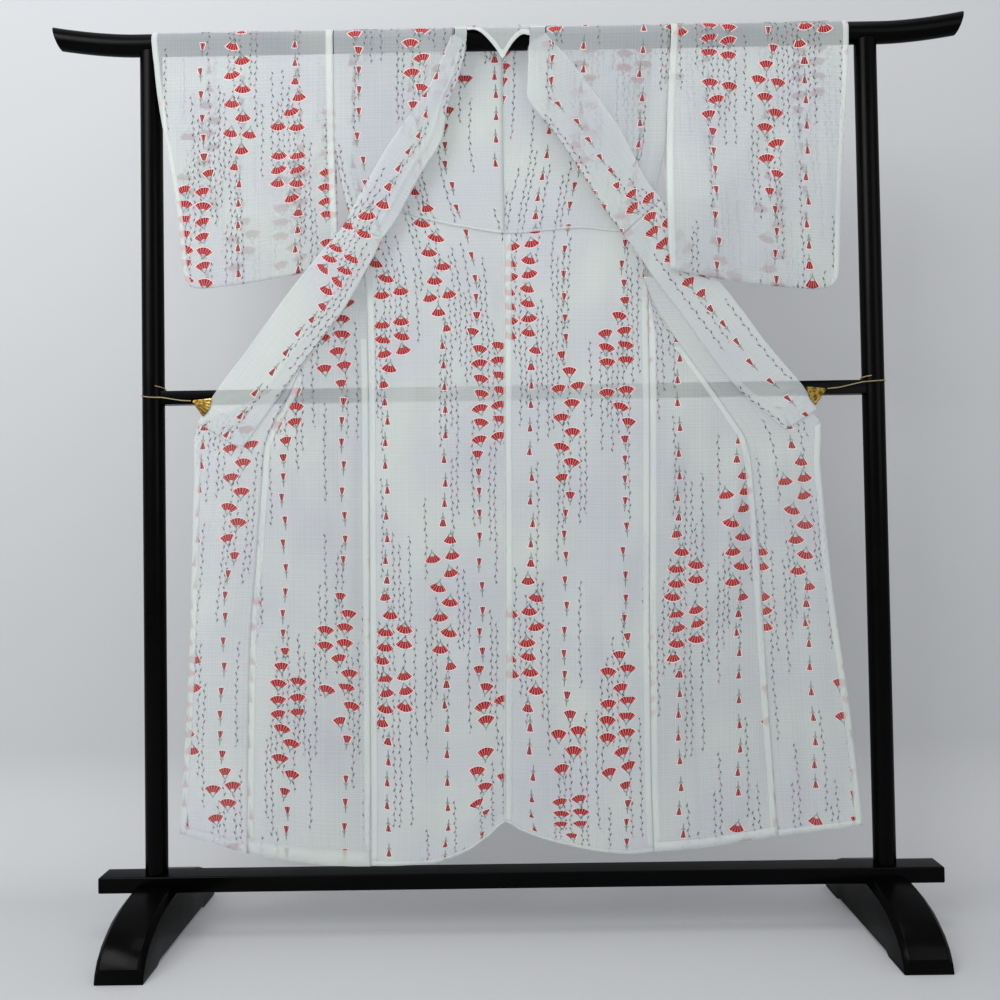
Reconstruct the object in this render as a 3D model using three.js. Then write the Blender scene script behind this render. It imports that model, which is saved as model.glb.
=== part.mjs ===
// Komon kimono, opened wide and hung by its sleeves on a black lacquered kimono rack.
// Millimetres, +Z up, floor at z = 0. x grows to the viewer's right, y grows away from the viewer.
// Piece names use the wearer's own sides, so the wearer's right side lies at negative x.
import * as THREE from 'three';

// rack sizes
const RAIL_LENGTH = 1686;
const RAIL_HALF_DEPTH = 19;
const RAIL_HALF_HEIGHT = 20;
const RAIL_Z = 1640;
const RAIL_TIP_RISE = 16;
const RAIL_STRAIGHT = 690;
const RAIL_TIP_SLANT = 11;
const POST_X = 663;
const POST_RADIUS = 20;
const POST_TOP_Z = 1625;
const MIDDLE_RAIL_Z = 981;
const MIDDLE_RAIL_SIZE = 25;
const BEAM_HALF_LENGTH = 761;
const BEAM_HALF_DEPTH = 25;
const BEAM_BOTTOM_Z = 84;
const BEAM_TOP_Z = 113;
const FOOT_X = 657.5;
const FOOT_WIDTH = 81;
const FOOT_CHAMFER = 9;
const GAP = 0.35;

// cloth sizes
const WALL = 1.5;
const BAND_WALL = 2;
const SEAM = 2;
const WRAP = 21.7;
const NECK_WRAP = 24.3;
const SHOULDER_RIGHT_X = -320;
const SHOULDER_LEFT_X = 300;
const NECK_RIGHT_X = -98;
const NECK_LEFT_X = 72;
const NECK_TURN = 74;

// a short table with named columns becomes a list of rows
function table(names, rows) {
  const keys = names.split(' ');
  return rows.map((row) => Object.fromEntries(keys.map((key, i) => [key, row[i]])));
}

// side seam of the wearer's right: the edges of back and front, from rail to hem
const SIDE_RIGHT = table('z x back_y front_y', [
  [1640, -319.5, 21.7, -21.7],
  [1540, -319.5, 15, -21],
  [1425, -319.5, 8, -18.5],
  [1341, -303, -1.5, -16],
  [1267, -283, -9, -13.5],
  [1192, -268, -11, -13],
  [1100, -265, -12, -14],
  [970, -264, -14.6, -16.6],
  [787, -265, -15.5, -17.5],
  [605, -266, -16, -18],
  [424, -268, -17, -19],
  [260, -268, -17, -19],
  [127, -270, -17, -19],
]);

// side seam of the wearer's left
const SIDE_LEFT = table('z x back_y front_y', [
  [1640, 299.5, 21.7, -21.7],
  [1540, 293.6, 15, -21],
  [1425, 286.7, 8, -18.5],
  [1341, 268, -1.5, -16],
  [1258, 257, -9, -13.5],
  [1184, 252, -11, -13],
  [1091, 251, -12, -14],
  [962, 250, -14.8, -16.8],
  [779, 247, -15.5, -17.5],
  [598, 243, -16, -18],
  [417, 241, -17, -19],
  [270, 240, -17, -19],
  [145, 242, -17, -19],
]);

// centre back seam, shared by both back panels
const CENTRE = table('z x y', [
  [1640, -8, 21.7],
  [1540, -9.5, 16],
  [1425, -10, 10],
  [1341, -10, 5],
  [1267, -10, 1],
  [1192, -11, -4],
  [1100, -12, -9],
  [970, -14, -15],
  [787, -16, -16],
  [605, -18, -17],
  [424, -21, -18],
  [260, -24, -18],
  [201, -26, -18],
]);

// lapel of the wearer's right: sewn (roll) edge and free edge, from rail to lower end
const LAPEL_RIGHT = table('roll_x roll_z roll_y free_x free_z free_y', [
  [-74, 1640, -24.3, -96, 1640, -24.3],
  [-76, 1622, -24.5, -106, 1628, -24.8],
  [-82, 1590, -25.2, -120, 1597, -26],
  [-94, 1550, -26, -140, 1552, -27],
  [-111, 1508, -27.5, -160, 1520, -28],
  [-123, 1443, -30, -190, 1478, -29],
  [-163, 1376, -33, -227, 1424, -31],
  [-204, 1300, -37, -276, 1338, -34],
  [-231, 1260, -39, -304, 1286, -35],
  [-266, 1195, -41, -343, 1240, -36],
  [-302, 1134, -42, -379, 1197, -36.5],
  [-344, 1079, -42, -414, 1152, -37],
  [-379, 1035, -41, -450, 1103, -37.5],
  [-411, 991, -40, -486, 1054, -38],
  [-445, 945, -39, -528, 1000, -38],
  [-470, 911, -38.5, -553, 962, -38],
  [-491, 881, -38, -571, 931, -38],
]);

// lapel of the wearer's left, laid open wider at the neck
const LAPEL_LEFT = table('roll_x roll_z roll_y free_x free_z free_y', [
  [42, 1640, -24.3, 70, 1640, -24.3],
  [40, 1618, -24.5, 82, 1624, -24.8],
  [38, 1585, -25.2, 101, 1603, -26],
  [36, 1550, -26, 124, 1574, -27],
  [37, 1515, -27, 150, 1538, -28],
  [67, 1473, -28.5, 178, 1497, -28.5],
  [102, 1424, -30, 205, 1455, -29],
  [139, 1364, -31, 228, 1407, -29.5],
  [178, 1300, -32, 252, 1358, -30],
  [206, 1262, -33, 277, 1325, -30.5],
  [239, 1212, -34, 312, 1268, -31],
  [272, 1163, -34.5, 346, 1218, -31.5],
  [316, 1103, -35, 387, 1163, -32.5],
  [350, 1052, -35.5, 424, 1112, -33.5],
  [384, 1004, -36, 460, 1060, -35],
  [420, 963, -36.5, 497, 1014, -36],
  [456, 932, -37, 525, 978, -37],
  [490, 902, -37, 548, 937, -37],
]);
const OVERCOLLAR_RIGHT_ROW = 8;
const OVERCOLLAR_LEFT_ROW = 9;

// where the front panel meets its gore, from the gore's tip down to the hem, and the gore's outer edge
const GORE_RIGHT = table('seam_x seam_z seam_y edge_x edge_z edge_y', [
  [-329, 1099, -37.5, -336, 1106, -39.2],
  [-360, 1061, -37.2, -374, 1059, -38.4],
  [-386, 1022, -36.6, -408, 1012, -37.6],
  [-407, 975, -35.6, -446, 982, -36],
  [-431, 934, -34.6, -506, 955, -35],
  [-450, 888, -33.2, -571, 922, -35],
  [-457, 826, -30.5, -580, 828, -31],
  [-470, 681, -26, -586, 683, -27],
  [-483, 537, -23, -592, 538, -24],
  [-489, 356, -21.5, -602, 370, -22],
  [-493, 153, -21, -614, 190, -21],
]);
const GORE_LEFT = table('seam_x seam_z seam_y edge_x edge_z edge_y', [
  [240, 1184, -29.6, 258, 1184, -31],
  [262, 1128, -30.2, 305, 1132, -31.4],
  [298, 1069, -31, 346, 1072, -32],
  [346, 1000, -32, 392, 1012, -32.8],
  [394, 928, -32.4, 462, 950, -34],
  [423, 874, -32, 548, 925, -34.2],
  [434, 776, -30, 553, 830, -31],
  [444, 595, -25, 572, 605, -26],
  [452, 415, -22.5, 595, 424, -23],
  [459, 290, -21.5, 607, 300, -22],
  [465, 172, -21, 617, 188, -21],
]);

// the whole hem as it hangs, from one front edge past the centre back seam to the other
const HEM = table('x z', [
  [-614, 190], [-553, 172], [-493, 153], [-397, 136], [-325, 128], [-270, 126], [-199, 127], [-145, 132],
  [-90, 153], [-54, 179], [-26, 201], [1, 187], [36, 173], [90, 158], [144, 147], [198, 142], [241, 145],
  [324, 151], [397, 161], [469, 172], [541, 180], [617, 188],
]);

// soft folds of a panel: a line from top to bottom, its half width and its height toward the viewer
const FOLDS_FRONT_RIGHT = table('x0 z0 x1 z1 half_width height', [
  [-432, 918, -392, 700, 26, 5],
  [-376, 980, -330, 560, 30, 4],
  [-340, 640, -352, 180, 34, 5],
  [-296, 900, -300, 260, 16, 3],
  [-438, 560, -452, 200, 28, 4],
]);
const FOLDS_FRONT_LEFT = table('x0 z0 x1 z1 half_width height', [
  [410, 880, 376, 560, 28, 6],
  [352, 960, 322, 520, 26, 4],
  [376, 560, 392, 190, 34, 5],
  [284, 900, 292, 250, 18, 3],
  [330, 1010, 276, 760, 22, 4],
]);
const FOLDS_BACK_RIGHT = table('x0 z0 x1 z1 half_width height', [
  [-200, 1500, -188, 900, 26, 3],
  [-90, 1180, -70, 420, 34, 3],
  [-170, 720, -190, 190, 32, 5],
  [-92, 520, -80, 180, 26, 4],
]);
const FOLDS_BACK_LEFT = table('x0 z0 x1 z1 half_width height', [
  [70, 1320, 52, 640, 30, 3],
  [160, 1240, 172, 620, 34, 3],
  [120, 640, 140, 180, 30, 5],
  [196, 700, 186, 170, 24, 4],
  [44, 520, 40, 200, 22, 3],
]);
const FOLDS_GORE_RIGHT = table('x0 z0 x1 z1 half_width height', [
  [-520, 900, -528, 560, 26, 4],
  [-548, 600, -560, 210, 26, 4],
  [-506, 420, -520, 180, 20, 3],
]);
const FOLDS_GORE_LEFT = table('x0 z0 x1 z1 half_width height', [
  [476, 880, 486, 560, 24, 4],
  [530, 640, 556, 230, 28, 4],
  [484, 420, 500, 190, 18, 3],
]);

// sleeves: outer (cuff) edge and bottom edge, then the depth of the two layers down the inner and cuff edges
const CUFF_RIGHT = table('v x', [
  [0, -655], [0.1, -650], [0.3, -640], [0.5, -626], [0.7, -613], [0.9, -605], [0.97, -599], [1, -588],
]);
const CUFF_LEFT = table('v x', [
  [0, 626], [0.1, 624], [0.3, 618], [0.5, 613], [0.7, 607], [0.9, 601], [0.97, 596], [1, 582],
]);
const INNER_RIGHT = table('v x', [[0, -320.9], [0.46, -320.9], [0.75, -318], [1, -315]]);
const INNER_LEFT = table('v x', [[0, 300.9], [0.46, 288.2], [0.75, 283.5], [1, 287]]);
const HEM_SLEEVE_RIGHT = table('u z', [
  [0, 1222], [0.12, 1215], [0.32, 1202], [0.63, 1189], [0.93, 1181], [1, 1184],
]);
const HEM_SLEEVE_LEFT = table('u z', [
  [0, 1193], [0.25, 1181], [0.42, 1171], [0.66, 1164], [0.93, 1159], [1, 1163],
]);
const DEPTH_SLEEVE_RIGHT = table('v inner_front inner_back cuff_front cuff_back', [
  [0, -21.7, 21.7, -21.7, 21.7],
  [0.1, -22, 19, -22.5, 20],
  [0.24, -22, 14.5, -22.5, 17.5],
  [0.46, -19.5, 8, -14, 1],
  [0.56, -21, 3, -10.5, -7.6],
  [0.75, -22, -5, -10.5, -8],
  [0.9, -20, -12, -11, -8.5],
  [1, -17, -14.5, -12, -9.5],
]);
const DEPTH_SLEEVE_LEFT = table('v inner_front inner_back cuff_front cuff_back', [
  [0, -21.7, 21.7, -21.7, 21.7],
  [0.1, -22, 19, -22.5, 19],
  [0.24, -22, 14.5, -22, 13],
  [0.46, -26, 4, -15, 0],
  [0.6, -40, -18, -12, -9.2],
  [0.72, -50, -37, -13, -10.4],
  [0.86, -49, -41, -16, -13.4],
  [1, -45, -42.5, -19, -16.5],
]);
const SLEEVE_STATIONS = [0, 0.08, 0.2, 0.34, 0.5, 0.66, 0.82, 0.94, 1];
const SLEEVE_DROPS = [0.1, 0.2, 0.33, 0.46, 0.57, 0.68, 0.78, 0.88, 0.95];
const FOLDS_SLEEVE = table('u0 v0 u1 v1 half_width height', [
  [0.1, 0.3, 0.35, 0.8, 0.06, 4],
  [0.6, 0.15, 0.3, 0.7, 0.08, 3],
  [0.72, 0.4, 0.5, 0.95, 0.07, 3],
]);

// lower edge of the doubled yoke lining
const YOKE_EDGE = table('x z', [
  [-290, 1318], [-225, 1318], [-158, 1302], [-115, 1292], [-10, 1277], [148, 1283], [194, 1277], [262, 1270],
]);
const YOKE_TOP_Z = 1630;

// front end of the folded neck collar, as wrap length from the neckline behind the rail
const NECK_FLAP = table('x length', [
  [-72, 68], [-60, 68], [-50, 73], [-40, 82], [-28, 96], [-18, 110], [-9, 124],
  [0, 110], [9, 96], [19, 85], [29, 79], [39, 81],
]);

// clips that hold the lapel ends to the posts
const CLIP_RADIUS = 35;
const CLIP_SPREAD_DEG = 62;
const CLIP_RIGHT = { x: -580, z: 971, y: -38, aim_deg: -25 };
const CLIP_LEFT = { x: 565, z: 975, y: -37, aim_deg: 205 };
const STRING_RADIUS = 1;
const STRING_RIGHT_Z = 981;
const STRING_LEFT_Z = 990;

const lerp = (a, b, t) => a + (b - a) * t;
const clamp = (t, lo, hi) => Math.min(hi, Math.max(lo, t));
const smooth = (t) => { const k = clamp(t, 0, 1); return k * k * (3 - 2 * k); };

// value of a named column at a key, by straight lines between the rows
function at(rows, key, value, column) {
  const rising = rows[rows.length - 1][key] > rows[0][key];
  for (let i = 1; i < rows.length; i++) {
    const a = rows[i - 1], b = rows[i];
    const past = rising ? value <= b[key] : value >= b[key];
    if (past || i === rows.length - 1) {
      return lerp(a[column], b[column], clamp((value - a[key]) / (b[key] - a[key]), 0, 1));
    }
  }
  return rows[0][column];
}

// smooth curve through the rows, as a function of row number
function through(rows, position, column) {
  const i = clamp(Math.floor(position), 0, rows.length - 2);
  const t = position - i;
  const p1 = rows[i][column], p2 = rows[i + 1][column];
  const p0 = i > 0 ? rows[i - 1][column] : 2 * p1 - p2;
  const p3 = i + 2 < rows.length ? rows[i + 2][column] : 2 * p2 - p1;
  return 0.5 * (2 * p1 + (p2 - p0) * t + (2 * p0 - 5 * p1 + 4 * p2 - p3) * t * t
    + (3 * p1 - p0 - 3 * p2 + p3) * t * t * t);
}

// height of the folds at a point of a panel
function foldHeight(folds, x, z) {
  let sum = 0;
  for (const f of folds) {
    const t = clamp((f.z0 - z) / (f.z0 - f.z1), 0, 1);
    const away = (x - lerp(f.x0, f.x1, t)) / f.half_width;
    const run = smooth((f.z0 + 60 - z) / 120) * smooth((z - f.z1 + 90) / 180);
    sum += f.height * Math.exp(-away * away) * run;
  }
  return sum;
}

// the last rows of a panel eased up or down, so that its lower edge follows the hem
function followHem(grid, rows) {
  const last = grid.length - 1;
  grid[last].forEach(([x, , z], c) => {
    const shift = at(HEM, 'x', x, 'z') - z;
    for (let r = last - rows; r <= last; r++) grid[r][c][2] += shift * smooth((r - last + rows) / rows);
  });
  return grid;
}

// closed mesh from vertices and triangles, turned so that its faces point out
function solid(name, points, faces, material) {
  let volume = 0;
  for (const [a, b, c] of faces) {
    const p = points[a], q = points[b], r = points[c];
    volume += p[0] * (q[1] * r[2] - q[2] * r[1]) - p[1] * (q[0] * r[2] - q[2] * r[0])
      + p[2] * (q[0] * r[1] - q[1] * r[0]);
  }
  const index = volume < 0 ? faces.flatMap(([a, b, c]) => [a, c, b]) : faces.flat();
  const geometry = new THREE.BufferGeometry();
  geometry.setAttribute('position', new THREE.Float32BufferAttribute(points.flat(), 3));
  geometry.setIndex(index);
  geometry.computeVertexNormals();
  const mesh = new THREE.Mesh(geometry, material);
  mesh.name = name;
  return mesh;
}

// two skins over the same grid, closed by rims; rings wrap in the second direction
function closeSkins(outer, inner, wraps) {
  const rows = outer.length, cols = outer[0].length;
  const points = [...outer.flat(), ...inner.flat()];
  const half = rows * cols;
  const o = (r, c) => r * cols + (c % cols);
  const faces = [];
  const quad = (a, b, c, d) => faces.push([a, b, c], [a, c, d]);
  const last = wraps ? cols : cols - 1;
  for (let r = 0; r < rows - 1; r++) {
    for (let c = 0; c < last; c++) {
      quad(o(r, c), o(r + 1, c), o(r + 1, c + 1), o(r, c + 1));
      quad(half + o(r, c), half + o(r, c + 1), half + o(r + 1, c + 1), half + o(r + 1, c));
    }
  }
  for (let c = 0; c < last; c++) {
    quad(o(0, c), o(0, c + 1), half + o(0, c + 1), half + o(0, c));
    quad(o(rows - 1, c + 1), o(rows - 1, c), half + o(rows - 1, c), half + o(rows - 1, c + 1));
  }
  if (!wraps) {
    for (let r = 0; r < rows - 1; r++) {
      quad(o(r + 1, 0), o(r, 0), half + o(r, 0), half + o(r + 1, 0));
      quad(o(r, cols - 1), o(r + 1, cols - 1), half + o(r + 1, cols - 1), half + o(r, cols - 1));
    }
  }
  return { points, faces };
}

// a cloth wall of even thickness about a grid of points
function sheet(name, grid, wall, material) {
  const rows = grid.length, cols = grid[0].length;
  const vec = (p) => new THREE.Vector3(...p);
  const outer = [], inner = [];
  for (let r = 0; r < rows; r++) {
    outer.push([]);
    inner.push([]);
    for (let c = 0; c < cols; c++) {
      const down = vec(grid[Math.min(r + 1, rows - 1)][c]).sub(vec(grid[Math.max(r - 1, 0)][c]));
      const over = vec(grid[r][Math.min(c + 1, cols - 1)]).sub(vec(grid[r][Math.max(c - 1, 0)]));
      const n = down.cross(over).normalize().multiplyScalar(wall / 2);
      const p = grid[r][c];
      outer[r].push([p[0] + n.x, p[1] + n.y, p[2] + n.z]);
      inner[r].push([p[0] - n.x, p[1] - n.y, p[2] - n.z]);
    }
  }
  const { points, faces } = closeSkins(outer, inner, false);
  return solid(name, points, faces, material);
}

// closed body through a row of equal outlines, with flat ends cut into triangles
function loft(name, rings, flat, material) {
  const count = rings[0].length;
  const points = rings.flat();
  const faces = [];
  for (let r = 0; r < rings.length - 1; r++) {
    for (let i = 0; i < count; i++) {
      const j = (i + 1) % count;
      const a = r * count + i, b = r * count + j, c = (r + 1) * count + j, d = (r + 1) * count + i;
      faces.push([a, b, c], [a, c, d]);
    }
  }
  const end = THREE.ShapeUtils.triangulateShape(flat.map(([u, v]) => new THREE.Vector2(u, v)), []);
  const top = (rings.length - 1) * count;
  const turned = THREE.ShapeUtils.area(flat.map(([u, v]) => new THREE.Vector2(u, v))) < 0;
  for (const [a, b, c] of end) {
    const same = turned ? [a, c, b] : [a, b, c];
    faces.push([same[0], same[2], same[1]], [top + same[0], top + same[1], top + same[2]]);
  }
  return solid(name, points, faces, material);
}

const lacquer = () => new THREE.MeshStandardMaterial({ color: 0x0b0b0d, roughness: 0.22, metalness: 0 });
const cloth = () => new THREE.MeshStandardMaterial({
  color: 0xe4ebe6, roughness: 0.9, metalness: 0, side: THREE.DoubleSide,
});
const gilt = () => new THREE.MeshStandardMaterial({ color: 0x9a7a2c, roughness: 0.35, metalness: 1 });
const twine = () => new THREE.MeshStandardMaterial({ color: 0xb9a87c, roughness: 0.8, metalness: 0 });

// point at an angle round the rail: 0 on top, 90 behind it, -90 in front of it
function roundRail(x, degrees, radius) {
  const a = THREE.MathUtils.degToRad(degrees);
  return [x, radius * Math.sin(a), RAIL_Z + radius * Math.cos(a)];
}

function topRail() {
  const sides = 20;
  const rings = [];
  const flat = [];
  const reach = RAIL_LENGTH / 2;
  const stations = [-1, -0.975, -0.94, -0.9, -0.86, -RAIL_STRAIGHT / reach];
  for (const s of [...stations, ...stations.map((k) => -k).reverse()]) {
    const ring = [];
    for (let i = 0; i < sides; i++) {
      const a = (i / sides) * 2 * Math.PI;
      const y = RAIL_HALF_DEPTH * Math.cos(a), dz = RAIL_HALF_HEIGHT * Math.sin(a);
      const past = clamp((Math.abs(s) * reach - RAIL_STRAIGHT) / (reach - RAIL_STRAIGHT), 0, 1);
      const slant = Math.abs(s) > 0.99 ? RAIL_TIP_SLANT * (1 - dz / RAIL_HALF_HEIGHT) / 2 : 0;
      ring.push([Math.sign(s) * (Math.abs(s) * reach - slant), y, RAIL_Z + dz + RAIL_TIP_RISE * past ** 1.7]);
      if (s === -1) flat.push([y, dz]);
    }
    rings.push(ring);
  }
  return loft('rail_top', rings, flat, lacquer());
}

// round post with its top hollowed to the underside of the rail
function post(name, side) {
  const sides = 28;
  const steps = [0, 5, 10, 15, POST_RADIUS];
  const points = [];
  const faces = [];
  const cup = (y) => {
    const k = 1 - (y / (RAIL_HALF_DEPTH + 0.5)) ** 2;
    return k > 0 ? Math.min(POST_TOP_Z, RAIL_Z - (RAIL_HALF_HEIGHT + 0.5) * Math.sqrt(k)) : POST_TOP_Z;
  };
  const ringAt = (radius, height) => {
    const first = points.length;
    for (let i = 0; i < sides; i++) {
      const a = (i / sides) * 2 * Math.PI;
      const y = radius * Math.sin(a);
      points.push([side * POST_X + radius * Math.cos(a), y, height(y)]);
    }
    return first;
  };
  const middle = points.push([side * POST_X, 0, cup(0)]) - 1;
  let before = -1;
  for (const radius of steps.slice(1)) {
    const ring = ringAt(radius, cup);
    for (let i = 0; i < sides; i++) {
      const j = (i + 1) % sides;
      if (before < 0) faces.push([middle, ring + i, ring + j]);
      else faces.push([before + i, ring + i, ring + j], [before + i, ring + j, before + j]);
    }
    before = ring;
  }
  const foot = ringAt(POST_RADIUS, () => BEAM_TOP_Z + GAP);
  const centre = points.push([side * POST_X, 0, BEAM_TOP_Z + GAP]) - 1;
  for (let i = 0; i < sides; i++) {
    const j = (i + 1) % sides;
    faces.push([before + i, foot + i, foot + j], [before + i, foot + j, before + j]);
    faces.push([centre, foot + j, foot + i]);
  }
  return solid(name, points, faces, lacquer());
}

// middle rail with ends hollowed to the round posts
function middleRail() {
  const half = MIDDLE_RAIL_SIZE / 2;
  const reach = (y) => POST_X - Math.sqrt((POST_RADIUS + 0.5) ** 2 - y * y);
  const steps = [-1, -0.6, -0.2, 0.2, 0.6, 1].map((k) => k * half);
  const outline = [
    ...steps.map((y) => [reach(y), y]),
    ...steps.slice().reverse().map((y) => [-reach(y), y]),
  ];
  const ring = (z) => outline.map(([x, y]) => [x, y, z]);
  const bottom = ring(MIDDLE_RAIL_Z - half), top = ring(MIDDLE_RAIL_Z + half);
  return loft('rail_middle', [bottom, top], outline, lacquer());
}

function bottomBeam() {
  const edge = 1.5;
  const size = (trim) => [
    [BEAM_HALF_LENGTH - trim, BEAM_HALF_DEPTH - trim], [-BEAM_HALF_LENGTH + trim, BEAM_HALF_DEPTH - trim],
    [-BEAM_HALF_LENGTH + trim, -BEAM_HALF_DEPTH + trim], [BEAM_HALF_LENGTH - trim, -BEAM_HALF_DEPTH + trim],
  ];
  const levels = [[BEAM_BOTTOM_Z + GAP, edge], [BEAM_BOTTOM_Z + GAP + edge, 0], [BEAM_TOP_Z - edge, 0],
    [BEAM_TOP_Z, edge]];
  const rings = levels.map(([z, trim]) => size(trim).map(([x, y]) => [x, y, z]));
  return loft('beam_bottom', rings, size(edge), lacquer());
}

// half of the foot's side view from the beam slot to the toe, mirrored front to back
const FOOT_PROFILE = table('y z top', [
  [BEAM_HALF_DEPTH + GAP, 97, 1], [60, 94, 1], [92, 89.5, 1], [126, 81, 1], [150, 71.5, 1], [172, 59, 1],
  [190, 42, 1], [200, 24, 1], [200, 0, 0], [132, 0, 0], [120, 6, 0],
]);

function foot(name, side) {
  const outline = (trim) => {
    const drop = (p) => (p.top ? p.z - trim : p.z);
    const inset = (p) => (p.y > 140 && p.top ? p.y - trim * 0.4 : p.y);
    const back = FOOT_PROFILE.map((p) => [inset(p), drop(p)]);
    const front = FOOT_PROFILE.slice().reverse().map((p) => [-inset(p), drop(p)]);
    return [[BEAM_HALF_DEPTH + GAP, BEAM_BOTTOM_Z], ...back, ...front, [-BEAM_HALF_DEPTH - GAP, BEAM_BOTTOM_Z]];
  };
  const half = FOOT_WIDTH / 2;
  const stations = [[-half, FOOT_CHAMFER], [-half + FOOT_CHAMFER, 0], [half - FOOT_CHAMFER, 0], [half, FOOT_CHAMFER]];
  const rings = stations.map(([dx, trim]) => outline(trim).map(([y, z]) => [side * FOOT_X + dx, y, z]));
  return loft(name, rings, outline(0), lacquer());
}

// angles of the rows that bend a layer over the rail, from the shoulder line down
const RAIL_ANGLES = [0.9, 22.5, 45, 67.5];

// back panel from the shoulder over the rail and down to the hem; u runs from side seam to centre seam
function backPoint(side, centre, folds, row, u) {
  const x = lerp(through(side, row, 'x'), through(centre, row, 'x'), u);
  const z = lerp(through(side, row, 'z'), through(centre, row, 'z'), u);
  const y = lerp(through(side, row, 'back_y'), through(centre, row, 'y'), u);
  const calm = smooth(row) * smooth(u * 6) * smooth((1 - u) * 6);
  return [x, y - foldHeight(folds, x, z) * calm, z];
}

// angle at which the back panel begins behind the neck: on top of the rail outside the neck, behind it inside
function neckAngle(x) {
  const inside = Math.min(x - NECK_RIGHT_X, NECK_LEFT_X - x);
  return RAIL_ANGLES[0] + 85 * clamp(inside / NECK_TURN, 0, 1);
}

// columns of a back panel from side seam to centre seam, close together round the neck
function backColumns(side, neckX) {
  const neck = (neckX - side[0].x) / (CENTRE[0].x - side[0].x);
  const outside = [0, 0.25, 0.5, 0.75, 1].map((k) => k * neck);
  return [...outside, ...[0.14, 0.28, 0.42, 0.56, 0.7, 1].map((k) => lerp(neck, 1, k))];
}

// grid of the hanging part of a back panel
function backGrid(side, columns, centreGap, folds) {
  const centre = CENTRE.map((row) => ({ ...row, x: row.x + centreGap }));
  const grid = [];
  for (let row = 0; row < side.length; row += 0.5) {
    grid.push(columns.map((u) => backPoint(side, centre, folds, row, u)));
    if (row === side.length - 1) break;
  }
  return followHem(grid, 6);
}

function backPanel(name, side, neckX, centreGap, folds) {
  const columns = backColumns(side, neckX);
  const arc = RAIL_ANGLES.map((degrees) => columns.map((u) => {
    const x = lerp(side[0].x, CENTRE[0].x + centreGap, u);
    return roundRail(x, lerp(neckAngle(x), 90, degrees / 90), WRAP);
  }));
  return sheet(name, [...arc, ...backGrid(side, columns, centreGap, folds)], WALL, cloth());
}

// yoke lining: the back panel's own points below the rail, moved one seam toward the viewer
function yoke(name, side, neckX, centreGap, folds) {
  const columns = backColumns(side, neckX).slice(1);
  const back = backGrid(side, columns, centreGap, folds);
  const rows = 9;
  const grid = Array.from({ length: rows + 1 }, (_, r) => columns.map((u, c) => {
    const edge = at(YOKE_EDGE, 'x', back[10][c][0], 'z');
    const z = lerp(YOKE_TOP_Z, edge, r / rows);
    let i = 0;
    while (back[i + 1][c][2] > z) i++;
    const a = back[i][c], b = back[i + 1][c];
    const t = (a[2] - z) / (a[2] - b[2]);
    return [lerp(a[0], b[0], t), lerp(a[1], b[1], t) - SEAM - 0.2, z];
  }));
  return sheet(name, grid, WALL, cloth());
}

// front panel: the side seam stays, the other edge is carried outward by the lapel, so the cloth turns over
function frontRows(side, lapel, gore, neckX, skipLapel, behind) {
  const rows = [];
  const crossing = skipLapel;
  for (let i = 0; i < crossing; i++) {
    const l = lapel[i];
    const z = i === 0 ? RAIL_Z : l.roll_z;
    rows.push({
      sx: at(side, 'z', z, 'x'), sy: at(side, 'z', z, 'front_y'), sz: z,
      ex: i === 0 ? neckX : l.roll_x, ey: l.roll_y + behind, ez: z,
    });
  }
  for (const g of gore) {
    const z = g.seam_z;
    const tie = at(side, 'z', z, 'x');
    const low = side[side.length - 1].z;
    const down = z < 900 ? lerp(900, low, (900 - z) / (900 - gore[gore.length - 1].seam_z)) : z;
    rows.push({
      sx: z < 900 ? at(side, 'z', down, 'x') : tie, sy: at(side, 'z', down, 'front_y'), sz: down,
      ex: g.seam_x, ey: g.seam_y, ez: z,
    });
  }
  return rows;
}

function frontPanel(name, rows, neckX, folds) {
  const columns = 9;
  const grid = RAIL_ANGLES.map((degrees) => Array.from({ length: columns + 1 },
    (_, c) => roundRail(lerp(rows[0].sx, neckX, c / columns), -degrees, WRAP)));
  const steps = 1;
  for (let k = 0; k <= (rows.length - 1) * steps; k++) {
    const p = k / steps;
    const line = [];
    const wide = Math.abs(through(rows, p, 'ex') - through(rows, p, 'sx'));
    for (let c = 0; c <= columns; c++) {
      const u = c / columns;
      const x = lerp(through(rows, p, 'sx'), through(rows, p, 'ex'), u);
      const z = lerp(through(rows, p, 'sz'), through(rows, p, 'ez'), u);
      const y = lerp(through(rows, p, 'sy'), through(rows, p, 'ey'), u);
      const calm = smooth(u * 5) * smooth((1 - u) * 5) * smooth((wide - 60) / 80);
      line.push([x, y - foldHeight(folds, x, z) * calm, z]);
    }
    grid.push(line);
  }
  return sheet(name, followHem(grid, 2), WALL, cloth());
}

// gore sewn between front panel and lapel, one seam nearer the viewer than the panel's edge
function gorePanel(name, gore, folds) {
  const columns = 5, steps = 1;
  const grid = [];
  for (let k = 0; k <= (gore.length - 1) * steps; k++) {
    const p = k / steps;
    const line = [];
    for (let c = 0; c <= columns; c++) {
      const u = c / columns;
      const x = lerp(through(gore, p, 'seam_x'), through(gore, p, 'edge_x'), u);
      const z = lerp(through(gore, p, 'seam_z'), through(gore, p, 'edge_z'), u);
      const y = lerp(through(gore, p, 'seam_y') - SEAM, through(gore, p, 'edge_y') - 0.2, u);
      const calm = smooth(u * 4) * smooth((1 - u) * 4) * smooth((900 - z) / 60);
      line.push([x, y - foldHeight(folds, x, z) * calm, z]);
    }
    grid.push(line);
  }
  return sheet(name, followHem(grid, 2), WALL, cloth());
}

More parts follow.
